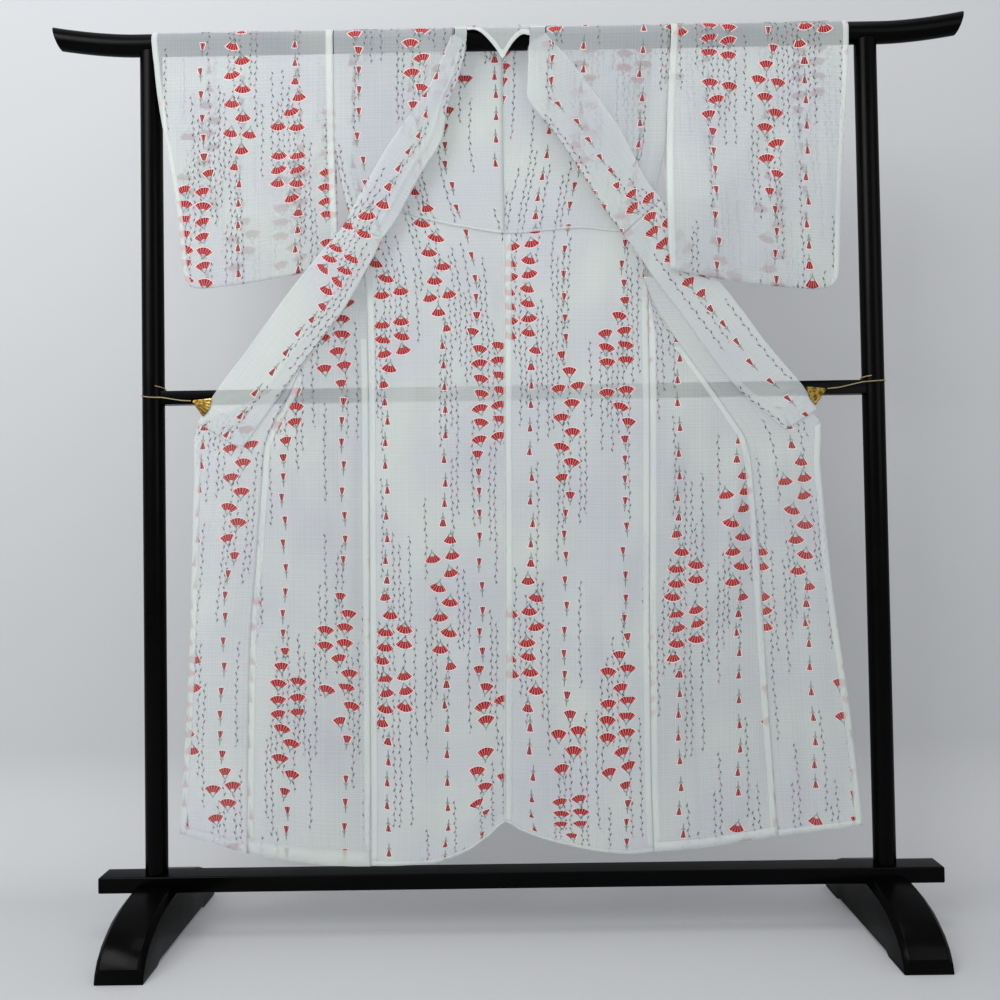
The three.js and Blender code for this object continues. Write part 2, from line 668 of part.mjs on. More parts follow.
// length of lapel between two rows of its table, with a soft rise along its middle
function lapelBand(name, lapel, from, to, overRail, trimStart) {
  const columns = 4, steps = 2;
  const grid = [];
  if (overRail) {
    for (const degrees of RAIL_ANGLES) {
      grid.push(Array.from({ length: columns + 1 },
        (_, c) => roundRail(lerp(lapel[0].roll_x, lapel[0].free_x, c / columns), -degrees, NECK_WRAP)));
    }
  }
  for (let k = 0; k <= (to - from) * steps; k++) {
    const p = from + k / steps + (k === 0 ? trimStart : 0);
    const line = [];
    for (let c = 0; c <= columns; c++) {
      const u = c / columns;
      const x = lerp(through(lapel, p, 'roll_x'), through(lapel, p, 'free_x'), u);
      const z = lerp(through(lapel, p, 'roll_z'), through(lapel, p, 'free_z'), u);
      const y = lerp(through(lapel, p, 'roll_y'), through(lapel, p, 'free_y'), u);
      const rise = 1.6 * Math.sin(Math.PI * u) * smooth(p / 3) * smooth((lapel.length - 1 - p) / 4);
      line.push([x, y - rise, z]);
    }
    grid.push(line);
  }
  return sheet(name, grid, BAND_WALL, cloth());
}

// neck collar: sewn behind the rail, folded over its top, its fall hanging in front as a point
function neckCollar() {
  const columns = 16, rows = 14;
  const quarter = NECK_WRAP * Math.PI / 2;
  const grid = [];
  for (let r = 0; r <= rows; r++) {
    const line = [];
    for (let c = 0; c <= columns; c++) {
      const x = lerp(NECK_FLAP[0].x, NECK_FLAP[NECK_FLAP.length - 1].x, c / columns);
      const along = (r / rows) * at(NECK_FLAP, 'x', x, 'length');
      if (along < 2 * quarter) {
        line.push(roundRail(x, 90 - (along / quarter) * 90, NECK_WRAP));
      } else {
        line.push([x, -NECK_WRAP, RAIL_Z - (along - 2 * quarter)]);
      }
    }
    grid.push(line);
  }
  return sheet('overcollar_neck', grid, BAND_WALL, cloth());
}

// one sleeve: a flat tube over the rail, open along the armhole side and at the wrist, sewn below
function sleeve(name, inner, cuff, hem, depth, shoulderX) {
  const outerRings = [], innerRings = [];
  const half = WALL / 2;
  const arc = [67.5, 45, 22.5, 0, -22.5, -45, -67.5];
  const spot = (u, v, layer) => {
    const x = lerp(at(inner, 'v', v, 'x'), at(cuff, 'v', v, 'x'), u);
    const z = lerp(RAIL_Z, at(hem, 'u', u, 'z'), v);
    const blend = u ** 1.3;
    let y = lerp(at(depth, 'v', v, 'inner_' + layer), at(depth, 'v', v, 'cuff_' + layer), blend);
    if (layer === 'front') {
      for (const f of FOLDS_SLEEVE) {
        const t = clamp((v - f.v0) / (f.v1 - f.v0), 0, 1);
        const away = (u - lerp(f.u0, f.u1, t)) / f.half_width;
        y -= f.height * Math.exp(-away * away) * smooth((v - f.v0 + 0.1) / 0.2) * smooth((f.v1 + 0.1 - v) / 0.2)
          * smooth(u * 8) * smooth((1 - u) * 8);
      }
    }
    return [x, y, z];
  };
  for (const u of SLEEVE_STATIONS) {
    const out = [], inn = [];
    const low = (layer, sign) => {
      const p = spot(u, 1, layer);
      out.push([p[0], p[1] + sign * half, p[2] - WALL]);
      inn.push([p[0], p[1] - sign * half, p[2]]);
    };
    const hang = (v, layer, sign) => {
      const p = spot(u, v, layer);
      out.push([p[0], p[1] + sign * half, p[2]]);
      inn.push([p[0], p[1] - sign * half, p[2]]);
    };
    low('front', -1);
    for (const v of SLEEVE_DROPS.slice().reverse()) hang(v, 'front', -1);
    hang(0, 'front', -1);
    const topX = lerp(shoulderX, cuff[0].x, u);
    for (const degrees of arc.slice().reverse()) {
      out.push(roundRail(topX, degrees, WRAP + half));
      inn.push(roundRail(topX, degrees, WRAP - half));
    }
    hang(0, 'back', 1);
    for (const v of SLEEVE_DROPS) hang(v, 'back', 1);
    low('back', 1);
    outerRings.push(out);
    innerRings.push(inn);
  }
  const { points, faces } = closeSkins(outerRings, innerRings, true);
  return solid(name, points, faces, cloth());
}

// fan-shaped clip: two ribbed leaves joined at the pivot, with the lapel end between them
function clip(name, place) {
  const ribs = 12;
  const rings = [];
  const profile = table('r depth rib', [
    [3, -4, 0], [8, -4.2, 0.3], [CLIP_RADIUS, -4, 1], [CLIP_RADIUS, -1.6, 0], [10, -1.6, 0],
    [10, 1.6, 0], [CLIP_RADIUS, 1.6, 0], [CLIP_RADIUS, 3.4, 1], [8, 3.6, 0.3], [3, 3.4, 0],
  ]);
  for (let i = 0; i <= ribs; i++) {
    const a = THREE.MathUtils.degToRad(place.aim_deg + CLIP_SPREAD_DEG * (i / ribs - 0.5));
    const ridge = i % 2 ? 1 : -0.2;
    rings.push(profile.map((p) => [
      place.x + p.r * Math.cos(a), place.y + p.depth + Math.sign(p.depth) * p.rib * ridge * 0.9,
      place.z + p.r * Math.sin(a),
    ]));
  }
  return loft(name, rings, profile.map((p) => [p.r, p.depth]), gilt());
}

// taut string from a clip's pivot, once round the post
function string(name, place, side, height, rise) {
  const path = [];
  const ringRadius = POST_RADIUS + STRING_RADIUS + 0.75;
  const start = [place.x - side * -2.6, place.y, place.z];
  const lift = (t) => lerp(place.z, height, smooth(t));
  const frontX = side * POST_X;
  for (const t of [0, 0.25, 0.5, 0.75]) {
    path.push([lerp(start[0], frontX - side * 6, t), lerp(start[1], -ringRadius - 1.5, t), lift(t)]);
  }
  const turns = 16;
  for (let i = 0; i <= turns; i++) {
    const a = -Math.PI / 2 + side * (i / turns) * 1.86 * Math.PI;
    path.push([frontX + ringRadius * Math.cos(a), ringRadius * Math.sin(a), height + (i / turns) * rise]);
  }
  const sides = 6;
  const rings = path.map((p, i) => {
    const ahead = new THREE.Vector3(...path[Math.min(i + 1, path.length - 1)])
      .sub(new THREE.Vector3(...path[Math.max(i - 1, 0)])).normalize();
    const up = new THREE.Vector3(0, 0, 1);
    const across = ahead.clone().cross(up).normalize();
    const above = across.clone().cross(ahead);
    return Array.from({ length: sides }, (_, k) => {
      const a = (k / sides) * 2 * Math.PI;
      return [0, 1, 2].map((axis) => p[axis] + STRING_RADIUS
        * (Math.cos(a) * across.getComponent(axis) + Math.sin(a) * above.getComponent(axis)));
    });
  });
  const flat = Array.from({ length: sides }, (_, k) => {
    const a = (k / sides) * 2 * Math.PI;
    return [Math.cos(a), Math.sin(a)];
  });
  return loft(name, rings, flat, twine());
}

const frontRight = frontRows(SIDE_RIGHT, LAPEL_RIGHT, GORE_RIGHT, NECK_RIGHT_X, 11, 2.4);
const frontLeft = frontRows(SIDE_LEFT, LAPEL_LEFT, GORE_LEFT, NECK_LEFT_X, 11, 2.4);

const kimono = new THREE.Group();
kimono.add(
  topRail(), post('post_right', -1), post('post_left', 1), middleRail(), bottomBeam(),
  foot('foot_right', -1), foot('foot_left', 1),
  backPanel('back_right', SIDE_RIGHT, NECK_RIGHT_X, -0.3, FOLDS_BACK_RIGHT),
  backPanel('back_left', SIDE_LEFT, NECK_LEFT_X, 0.3, FOLDS_BACK_LEFT),
  yoke('yoke_right', SIDE_RIGHT, NECK_RIGHT_X, -0.3, FOLDS_BACK_RIGHT),
  yoke('yoke_left', SIDE_LEFT, NECK_LEFT_X, 0.3, FOLDS_BACK_LEFT),
  frontPanel('front_right', frontRight, NECK_RIGHT_X, FOLDS_FRONT_RIGHT),
  frontPanel('front_left', frontLeft, NECK_LEFT_X, FOLDS_FRONT_LEFT),
  gorePanel('okumi_right', GORE_RIGHT, FOLDS_GORE_RIGHT),
  gorePanel('okumi_left', GORE_LEFT, FOLDS_GORE_LEFT),
  neckCollar(),
  lapelBand('overcollar_right', LAPEL_RIGHT, 0, OVERCOLLAR_RIGHT_ROW, true, 0),
  lapelBand('overcollar_left', LAPEL_LEFT, 0, OVERCOLLAR_LEFT_ROW, true, 0),
  lapelBand('collar_right', LAPEL_RIGHT, OVERCOLLAR_RIGHT_ROW, LAPEL_RIGHT.length - 1, false, 0.008),
  lapelBand('collar_left', LAPEL_LEFT, OVERCOLLAR_LEFT_ROW, LAPEL_LEFT.length - 1, false, 0.008),
  sleeve('sleeve_right', INNER_RIGHT, CUFF_RIGHT, HEM_SLEEVE_RIGHT, DEPTH_SLEEVE_RIGHT, SHOULDER_RIGHT_X - 0.9),
  sleeve('sleeve_left', INNER_LEFT, CUFF_LEFT, HEM_SLEEVE_LEFT, DEPTH_SLEEVE_LEFT, SHOULDER_LEFT_X + 0.9),
  clip('clip_right', CLIP_RIGHT), clip('clip_left', CLIP_LEFT),
  string('string_right', CLIP_RIGHT, -1, STRING_RIGHT_Z, 21), string('string_left', CLIP_LEFT, 1, STRING_LEFT_Z, 10),
);

export default kimono;
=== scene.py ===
import math
from functools import lru_cache

import bmesh
import bpy
from mathutils import Matrix, Vector, noise


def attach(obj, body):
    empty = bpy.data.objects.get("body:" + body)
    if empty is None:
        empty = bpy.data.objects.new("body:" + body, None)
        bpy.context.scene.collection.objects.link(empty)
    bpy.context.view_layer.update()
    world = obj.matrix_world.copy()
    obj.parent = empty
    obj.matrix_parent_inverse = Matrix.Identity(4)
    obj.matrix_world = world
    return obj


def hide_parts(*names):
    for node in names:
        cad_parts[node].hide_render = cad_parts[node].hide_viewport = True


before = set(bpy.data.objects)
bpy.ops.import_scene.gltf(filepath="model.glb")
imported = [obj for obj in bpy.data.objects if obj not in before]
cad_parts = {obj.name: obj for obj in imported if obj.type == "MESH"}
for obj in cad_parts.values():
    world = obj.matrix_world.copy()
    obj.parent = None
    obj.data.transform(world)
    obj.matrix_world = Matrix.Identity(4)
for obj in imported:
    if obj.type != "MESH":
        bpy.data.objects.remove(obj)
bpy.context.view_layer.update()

# A printed gauze kimono, opened wide and hung by its sleeves on a black lacquered rack.
# The frame is in metres. The tables below hold the garment's sizes in millimetres, as its maker would measure it.
MM = 0.001
scene = bpy.context.scene

# rack, in millimetres
RAIL_Z = 1640
RAIL_LENGTH = 1686
RAIL_HALF_DEPTH = 19
RAIL_HALF_HEIGHT = 20
RAIL_TIP_RISE = 16
RAIL_STRAIGHT = 690
RAIL_TIP_SLANT = 11
POST_X = 663
POST_RADIUS = 20
POST_TOP_Z = 1625
POST_GAP = 0.5       # between a post's top and the rail
BEAM_TOP_Z = 113

# cloth, in millimetres
WRAP = 21.7          # the body cloth's distance from the rail's middle
NECK_WRAP = 24.3     # the collar's, which lies over it
SHELL = 0.5          # thickness of the gauze
LAPEL_SHELL = 0.9    # of the doubled lapels
STRIP_SHELL = 0.3    # of seam allowances and hems
OVER_RAIL = 34       # the cloth that the bend over the rail takes up, on each side
NECK_RIGHT_X = -98
NECK_LEFT_X = 72
NECK_TURN = 74
SHOULDER_RIGHT_X = -320
SHOULDER_LEFT_X = 300


def lerp(a, b, t):
    return a + (b - a) * t


def clamp(t, low=0.0, high=1.0):
    return min(high, max(low, t))


def smooth(t):
    t = clamp(t)
    return t * t * (3 - 2 * t)


class Table:
    """Rows of sizes with named columns, read by smooth curves through the rows."""

    def __init__(self, names, *rows):
        names = names.split()
        self.count = len(rows)
        self.columns = {name: [row[i] for row in rows] for i, name in enumerate(names)}

    @lru_cache(maxsize=None)
    def through(self, position, name):
        """The column's value at a row number, whole or between rows."""
        c = self.columns[name]
        i = int(clamp(math.floor(position), 0, self.count - 2))
        t = position - i
        p1, p2 = c[i], c[i + 1]
        p0 = c[i - 1] if i > 0 else 2 * p1 - p2
        p3 = c[i + 2] if i + 2 < self.count else 2 * p2 - p1
        return 0.5 * (2 * p1 + (p2 - p0) * t + (2 * p0 - 5 * p1 + 4 * p2 - p3) * t * t
                      + (3 * p1 - p0 - 3 * p2 + p3) * t ** 3)

    @lru_cache(maxsize=None)
    def row_of(self, key, value):
        """The row number at which the key column has this value."""
        c = self.columns[key]
        rising = c[-1] > c[0]
        for i in range(1, self.count):
            if i == self.count - 1 or (value <= c[i] if rising else value >= c[i]):
                return i - 1 + clamp((value - c[i - 1]) / (c[i] - c[i - 1]))

    def at(self, key, value, name):
        return self.through(self.row_of(key, value), name)

    def rows(self):
        names = list(self.columns)
        return [dict(zip(names, row)) for row in zip(*self.columns.values())]


# side seams: the edges of back and front, from rail to hem
SIDE_RIGHT = Table(
    "z x back_y front_y",
    (1640, -319.5, 21.7, -21.7), (1540, -319.5, 15, -21), (1425, -319.5, 8, -18.5),
    (1341, -303, -1.5, -16), (1267, -283, -9, -13.5), (1192, -268, -11, -13), (1100, -265, -12, -14),
    (970, -264, -14.6, -16.6), (787, -265, -15.5, -17.5), (605, -266, -16, -18), (424, -268, -17, -19),
    (260, -268, -17, -19), (127, -270, -17, -19))
SIDE_LEFT = Table(
    "z x back_y front_y",
    (1640, 299.5, 21.7, -21.7), (1540, 293.6, 15, -21), (1425, 286.7, 8, -18.5),
    (1341, 268, -1.5, -16), (1258, 257, -9, -13.5), (1184, 252, -11, -13), (1091, 251, -12, -14),
    (962, 250, -14.8, -16.8), (779, 247, -15.5, -17.5), (598, 243, -16, -18), (417, 241, -17, -19),
    (270, 240, -17, -19), (145, 242, -17, -19))
CENTRE = Table(
    "z x y",
    (1640, -8, 21.7), (1540, -9.5, 16), (1425, -10, 10), (1341, -10, 5), (1267, -10, 1), (1192, -11, -4),
    (1100, -12, -9), (970, -14, -15), (787, -16, -16), (605, -18, -17), (424, -21, -18), (260, -24, -18),
    (201, -26, -18))

# lapels: sewn edge (roll) and free edge, from the rail to the lower end
LAPEL_RIGHT = Table(
    "roll_x roll_z roll_y free_x free_z free_y",
    (-74, 1640, -24.3, -96, 1640, -24.3), (-76, 1622, -24.5, -106, 1628, -24.8),
    (-82, 1590, -25.2, -120, 1597, -26), (-94, 1550, -26, -140, 1552, -27),
    (-111, 1508, -27.5, -160, 1520, -28), (-123, 1443, -30, -190, 1478, -29),
    (-163, 1376, -33, -227, 1424, -31), (-204, 1300, -37, -276, 1338, -34),
    (-231, 1260, -39, -304, 1286, -35), (-266, 1195, -41, -343, 1240, -36),
    (-302, 1134, -42, -379, 1197, -36.5), (-344, 1079, -42, -414, 1152, -37),
    (-379, 1035, -41, -450, 1103, -37.5), (-411, 991, -40, -486, 1054, -38),
    (-445, 945, -39, -528, 1000, -38), (-470, 911, -38.5, -553, 962, -38), (-491, 881, -38, -571, 931, -38))
LAPEL_LEFT = Table(
    "roll_x roll_z roll_y free_x free_z free_y",
    (42, 1640, -24.3, 70, 1640, -24.3), (40, 1618, -24.5, 82, 1624, -24.8),
    (38, 1585, -25.2, 101, 1603, -26), (36, 1550, -26, 124, 1574, -27), (37, 1515, -27, 150, 1538, -28),
    (67, 1473, -28.5, 178, 1497, -28.5), (102, 1424, -30, 205, 1455, -29), (139, 1364, -31, 228, 1407, -29.5),
    (178, 1300, -32, 252, 1358, -30), (206, 1262, -33, 277, 1325, -30.5), (239, 1212, -34, 312, 1268, -31),
    (272, 1163, -34.5, 346, 1218, -31.5), (316, 1103, -35, 387, 1163, -32.5),
    (350, 1052, -35.5, 424, 1112, -33.5), (384, 1004, -36, 460, 1060, -35), (420, 963, -36.5, 497, 1014, -36),
    (456, 932, -37, 525, 978, -37), (490, 902, -37, 548, 937, -37))
OVERCOLLAR_RIGHT_ROW = 8
OVERCOLLAR_LEFT_ROW = 9

# gores: where each is sewn to its front, and its outer edge, from the tip to the hem
GORE_RIGHT = Table(
    "seam_x seam_z seam_y edge_x edge_z edge_y",
    (-329, 1099, -37.5, -336, 1106, -39.2), (-360, 1061, -37.2, -374, 1059, -38.4),
    (-386, 1022, -36.6, -408, 1012, -37.6), (-407, 975, -35.6, -446, 982, -36),
    (-431, 934, -34.6, -506, 955, -35), (-450, 888, -33.2, -571, 922, -35), (-457, 826, -30.5, -580, 828, -31),
    (-470, 681, -26, -586, 683, -27), (-483, 537, -23, -592, 538, -24), (-489, 356, -21.5, -602, 370, -22),
    (-493, 153, -21, -614, 190, -21))
GORE_LEFT = Table(
    "seam_x seam_z seam_y edge_x edge_z edge_y",
    (240, 1184, -29.6, 258, 1184, -31), (262, 1128, -30.2, 305, 1132, -31.4),
    (298, 1069, -31, 346, 1072, -32), (346, 1000, -32, 392, 1012, -32.8), (394, 928, -32.4, 462, 950, -34),
    (423, 874, -32, 548, 925, -34.2), (434, 776, -30, 553, 830, -31), (444, 595, -25, 572, 605, -26),
    (452, 415, -22.5, 595, 424, -23), (459, 290, -21.5, 607, 300, -22), (465, 172, -21, 617, 188, -21))

# the whole hem as it hangs, from one front edge past the centre back seam to the other
HEM = Table(
    "x z",
    (-614, 190), (-553, 172), (-493, 153), (-397, 136), (-325, 128), (-270, 126), (-199, 127), (-145, 132),
    (-90, 153), (-54, 179), (-26, 201), (1, 187), (36, 173), (90, 158), (144, 147), (198, 142), (241, 145),
    (324, 151), (397, 161), (469, 172), (541, 180), (617, 188))

# sleeves: cuff edge, armhole edge and bottom edge, then the depth of the two layers at both edges
CUFF_RIGHT = Table("v x", (0, -655), (0.1, -650), (0.3, -640), (0.5, -626), (0.7, -613), (0.9, -605),
                   (0.97, -599), (1, -588))
CUFF_LEFT = Table("v x", (0, 626), (0.1, 624), (0.3, 618), (0.5, 613), (0.7, 607), (0.9, 601), (0.97, 596),
                  (1, 582))
INNER_RIGHT = Table("v x", (0, -320.9), (0.46, -320.9), (0.75, -318), (1, -315))
INNER_LEFT = Table("v x", (0, 300.9), (0.46, 288.2), (0.75, 283.5), (1, 287))
HEM_SLEEVE_RIGHT = Table("u z", (0, 1222), (0.12, 1215), (0.32, 1202), (0.63, 1189), (0.93, 1181), (1, 1184))
HEM_SLEEVE_LEFT = Table("u z", (0, 1193), (0.25, 1181), (0.42, 1171), (0.66, 1164), (0.93, 1159), (1, 1163))
DEPTH_SLEEVE_RIGHT = Table(
    "v inner_front inner_back cuff_front cuff_back",
    (0, -21.7, 21.7, -21.7, 21.7), (0.1, -22, 19, -22.5, 20), (0.24, -22, 14.5, -22.5, 17.5),
    (0.46, -19.5, 8, -14, 1), (0.56, -21, 3, -10.5, -7.6), (0.75, -22, -5, -10.5, -8),
    (0.9, -20, -12, -11, -8.5), (1, -17, -14.5, -12, -9.5))
DEPTH_SLEEVE_LEFT = Table(
    "v inner_front inner_back cuff_front cuff_back",
    (0, -21.7, 21.7, -21.7, 21.7), (0.1, -22, 19, -22.5, 19), (0.24, -22, 14.5, -22, 13),
    (0.46, -26, 4, -15, 0), (0.6, -40, -18, -12, -9.2), (0.72, -50, -37, -13, -10.4),
    (0.86, -49, -41, -16, -13.4), (1, -45, -42.5, -19, -16.5))
YOKE_EDGE = Table("x z", (-290, 1318), (-225, 1318), (-158, 1302), (-115, 1292), (-10, 1277), (148, 1283),
                  (194, 1277), (262, 1270))
YOKE_TOP_Z = 1630
NECK_FLAP = Table("x length", (-72, 68), (-60, 68), (-50, 73), (-40, 82), (-28, 96), (-18, 110), (-9, 124), (0, 110),
                  (9, 96), (19, 85), (29, 79), (39, 81))

# Soft folds and pressed creases: from one end to the other, half width, and height toward the viewer.
FOLDS = "x0 z0 x1 z1 half_width height"
FOLDS_BACK_RIGHT = Table(
    FOLDS,
    (-200, 1500, -188, 900, 26, 3), (-90, 1180, -70, 420, 34, 3), (-170, 720, -190, 190, 32, 5),
    (-92, 520, -80, 180, 26, 4), (-250, 368, -96, 388, 3, 0.9), (-96, 388, -30, 398, 4, 0.5),
    (-210, 1180, -236, 1010, 12, 1.6), (-128, 960, -112, 700, 9, 1.1), (-58, 1240, -30, 1130, 8, 1.4),
    (-140, 640, -150, 500, 7, -1.2), (-60, 300, -44, 215, 10, 2.2), (-118, 260, -112, 150, 9, 1.6),
    (-200, 1600, -150, 1500, 11, 1.8), (-250, 1520, -214, 1400, 10, 1.4), (-60, 1560, -30, 1420, 9, 1.2))
FOLDS_BACK_LEFT = Table(
    FOLDS,
    (70, 1320, 52, 640, 30, 3), (160, 1240, 172, 620, 34, 3), (120, 640, 140, 180, 30, 5),
    (196, 700, 186, 170, 24, 4), (44, 520, 40, 200, 22, 3), (-6, 671, 80, 655, 3, 1.0),
    (80, 655, 230, 640, 3.5, 0.7), (30, 975, 62, 930, 3, 1.3), (4, 1180, 40, 1010, 9, 1.5),
    (60, 1560, 150, 1440, 10, 1.7), (210, 1180, 178, 980, 11, 1.4), (96, 900, 84, 760, 8, -1.2),
    (60, 330, 72, 180, 9, 1.7), (160, 420, 170, 300, 8, 1.2), (10, 760, 34, 700, 3, 0.8))
FOLDS_FRONT_RIGHT = Table(
    FOLDS,
    (-432, 918, -392, 700, 26, 5), (-376, 980, -330, 560, 30, 4), (-340, 640, -352, 180, 34, 5),
    (-296, 900, -300, 260, 16, 3), (-438, 560, -452, 200, 28, 4), (-430, 893, -402, 790, 8, 2.6),
    (-398, 915, -372, 838, 7, 2.0), (-350, 920, -318, 760, 9, 1.8), (-484, 528, -359, 523, 3, 0.8),
    (-359, 523, -290, 540, 3, 0.6), (-410, 360, -300, 372, 3, 0.8), (-404, 700, -420, 560, 8, 1.4),
    (-318, 420, -326, 300, 7, 1.3), (-456, 330, -462, 180, 9, 2.0), (-300, 1060, -278, 940, 7, 1.6))
FOLDS_FRONT_LEFT = Table(
    FOLDS,
    (410, 880, 376, 560, 28, 6), (352, 960, 322, 520, 26, 4), (376, 560, 392, 190, 34, 5),
    (284, 900, 292, 250, 18, 3), (330, 1010, 276, 760, 22, 4), (404, 800, 388, 715, 9, 3.0),
    (388, 715, 352, 600, 8, 2.2), (352, 600, 330, 480, 9, 1.6), (300, 930, 284, 830, 7, 1.7),
    (262, 640, 400, 628, 3, 0.8), (330, 430, 452, 440, 3, 0.7), (430, 400, 440, 230, 8, 1.8),
    (312, 360, 316, 200, 8, 1.4))
FOLDS_GORE_RIGHT = Table(
    FOLDS,
    (-520, 900, -528, 560, 26, 4), (-548, 600, -560, 210, 26, 4), (-506, 420, -520, 180, 20, 3),
    (-572, 532, -484, 528, 3, 0.9), (-545, 868, -556, 720, 8, 2.0), (-502, 870, -494, 760, 7, 1.6),
    (-590, 370, -500, 362, 3, 0.7), (-586, 300, -596, 200, 8, 1.8))
FOLDS_GORE_LEFT = Table(
    FOLDS,
    (476, 880, 486, 560, 24, 4), (530, 640, 556, 230, 28, 4), (484, 420, 500, 190, 18, 3),
    (462, 846, 470, 740, 8, 2.4), (506, 870, 516, 760, 9, 2.2), (452, 640, 572, 626, 3, 0.8),
    (580, 420, 590, 300, 8, 1.6), (470, 300, 590, 292, 3, 0.6))

# folds of a sleeve, in shares of its width and drop
FOLDS_SLEEVE = Table(
    FOLDS,
    (0.1, 0.3, 0.35, 0.8, 0.06, 4), (0.6, 0.15, 0.3, 0.7, 0.08, 3), (0.72, 0.4, 0.5, 0.95, 0.07, 3),
    (0.02, 0.34, 0.16, 0.62, 0.025, 2.2), (0.4, 0.1, 0.22, 0.42, 0.03, 1.6), (0.85, 0.2, 0.62, 0.5, 0.035, 1.8),
    (0.1, 0.7, 0.5, 0.68, 0.012, 0.8), (0.9, 0.5, 0.96, 0.9, 0.03, 1.6), (0.5, 0.72, 0.44, 0.96, 0.03, 1.5))


def fold_height(folds, x, z):
    """How far the folds lift the cloth at a place: each is a soft ridge that fades out at both ends."""
    lift = 0.0
    for f in folds:
        dx, dz = f["x1"] - f["x0"], f["z1"] - f["z0"]
        run = math.hypot(dx, dz)
        t = ((x - f["x0"]) * dx + (z - f["z0"]) * dz) / run ** 2
        if -0.15 < t < 1.15:
            off = ((x - f["x0"]) * dz - (z - f["z0"]) * dx) / run / f["half_width"]
            if abs(off) < 3:
                lift += f["height"] * math.exp(-off * off) * smooth(t * 5 + 0.4) * smooth((1 - t) * 5 + 0.4)
    return lift


def crumple(x, z, seed):
    """Small soft dents of washed gauze, longer down the cloth than across it: 0 to about 2 mm toward the viewer."""
    broad = noise.noise(Vector((x / 41, z / 120, seed)))
    fine = noise.noise(Vector((x / 17, z / 46, seed + 9)))
    return max(0.0, 0.9 + 1.5 * broad + 0.6 * fine)


def round_rail(x, degrees, radius):
    """A point at an angle round the rail: 0 on top, 90 behind it, -90 in front of it."""
    a = math.radians(degrees)
    return x, radius * math.sin(a), RAIL_Z + radius * math.cos(a)


# ---- cloth ----

def cloth(name, across, along, place, cut, finish, thickness=SHELL, seen=(0.1, 0.45), both_sides=False):
    """A sheet of gauze: a grid laid where place(u, v) puts it. cut(u, v) is the same spot on the flat cloth.

    The stretch of it that is seen, as shares of its length, has its printed face toward the viewer. The body's own
    sheets show the print on both sides, since it soaks through them."""
    bm = bmesh.new()
    bmesh.ops.create_grid(bm, x_segments=across, y_segments=along, size=0.5)
    flat = bm.loops.layers.uv.new("flat")
    share = {v: (round(v.co.x + 0.5, 6), round(0.5 - v.co.y, 6)) for v in bm.verts}
    for face in bm.faces:
        for loop in face.loops:
            a, b = cut(*share[loop.vert])
            loop[flat].uv = (a * MM, b * MM)
    for vert, (u, v) in share.items():
        vert.co = Vector(place(u, v)) * MM
    bm.normal_update()
    if sum(face.normal.y for face in bm.faces if seen[0] < share[face.verts[0]][1] < seen[1]) > 0:
        bmesh.ops.reverse_faces(bm, faces=bm.faces)
    return piece(name, bm, finish, thickness, finish if both_sides else bare_gauze)


def shown(name, bm, finish):
    """A smoothly shaded object from a bmesh, in one material."""
    mesh = bpy.data.meshes.new(name)
    bm.to_mesh(mesh)
    bm.free()
    for face in mesh.polygons:
        face.use_smooth = True
    mesh.materials.append(finish)
    made = bpy.data.objects.new(name, mesh)
    scene.collection.objects.link(made)
    return made


def piece(name, bm, finish, thickness=0.0, backing=None):
    """A piece of the one body. A thickness gives it a wall, whose far side a backing may finish."""
    made = shown(name, bm, finish)
    if thickness:
        wall = made.modifiers.new("wall", "SOLIDIFY")
        wall.thickness = thickness * MM
        wall.offset = 0
        if backing:
            made.data.materials.append(backing)
            wall.material_offset = 1
    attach(made, "root")
    return made


def to_hem(spot, u, p, last, reach):
    """A panel's spot, whose last rows move so that the lower edge follows the hem."""
    x, y, z = spot(u, p)
    end_x, _, end_z = spot(u, last)
    return x, y, z + (HEM.at("x", end_x, "z") - end_z) * smooth(1 - (last - p) / reach)


# the bend over the rail in table rows: of the back, of a front, of a lapel
ARC_ROWS = 0.34
FRONT_ARC_ROWS = 2 * ARC_ROWS
LAPEL_ARC_ROWS = 0.6
LEVEL_Z = 900    # from here down, a front's rows slope so that both its edges reach the hem together
YOKE_INSET = 0.09
YOKE_LIFT = 2.2


def back_place(side, middle_gap, folds):
    """The back panel: u runs from side seam to centre seam, v from the shoulder over the rail to the hem."""
    last = side.count - 1
    folds = folds.rows()

    def spot(u, row):
        return (lerp(side.through(row, "x"), CENTRE.through(row, "x") + middle_gap, u),
                lerp(side.through(row, "back_y"), CENTRE.through(row, "y"), u),
                lerp(side.through(row, "z"), CENTRE.through(row, "z"), u))

    def place(u, v):
        s = round(v * (last + ARC_ROWS), 6)
        if s < ARC_ROWS:
            x = lerp(side.through(0, "x"), CENTRE.through(0, "x") + middle_gap, u)
            inside = clamp(min(x - NECK_RIGHT_X, NECK_LEFT_X - x) / NECK_TURN)
            return round_rail(x, lerp(85 * inside, 90, s / ARC_ROWS), WRAP)
        row = round(s - ARC_ROWS, 6)
        x, y, z = to_hem(spot, u, row, last, 3)
        calm = smooth(row) * smooth(u * 9) * smooth((1 - u) * 9)
        return x, y - (fold_height(folds, x, z) + crumple(x, z, 1)) * calm, z

    return place


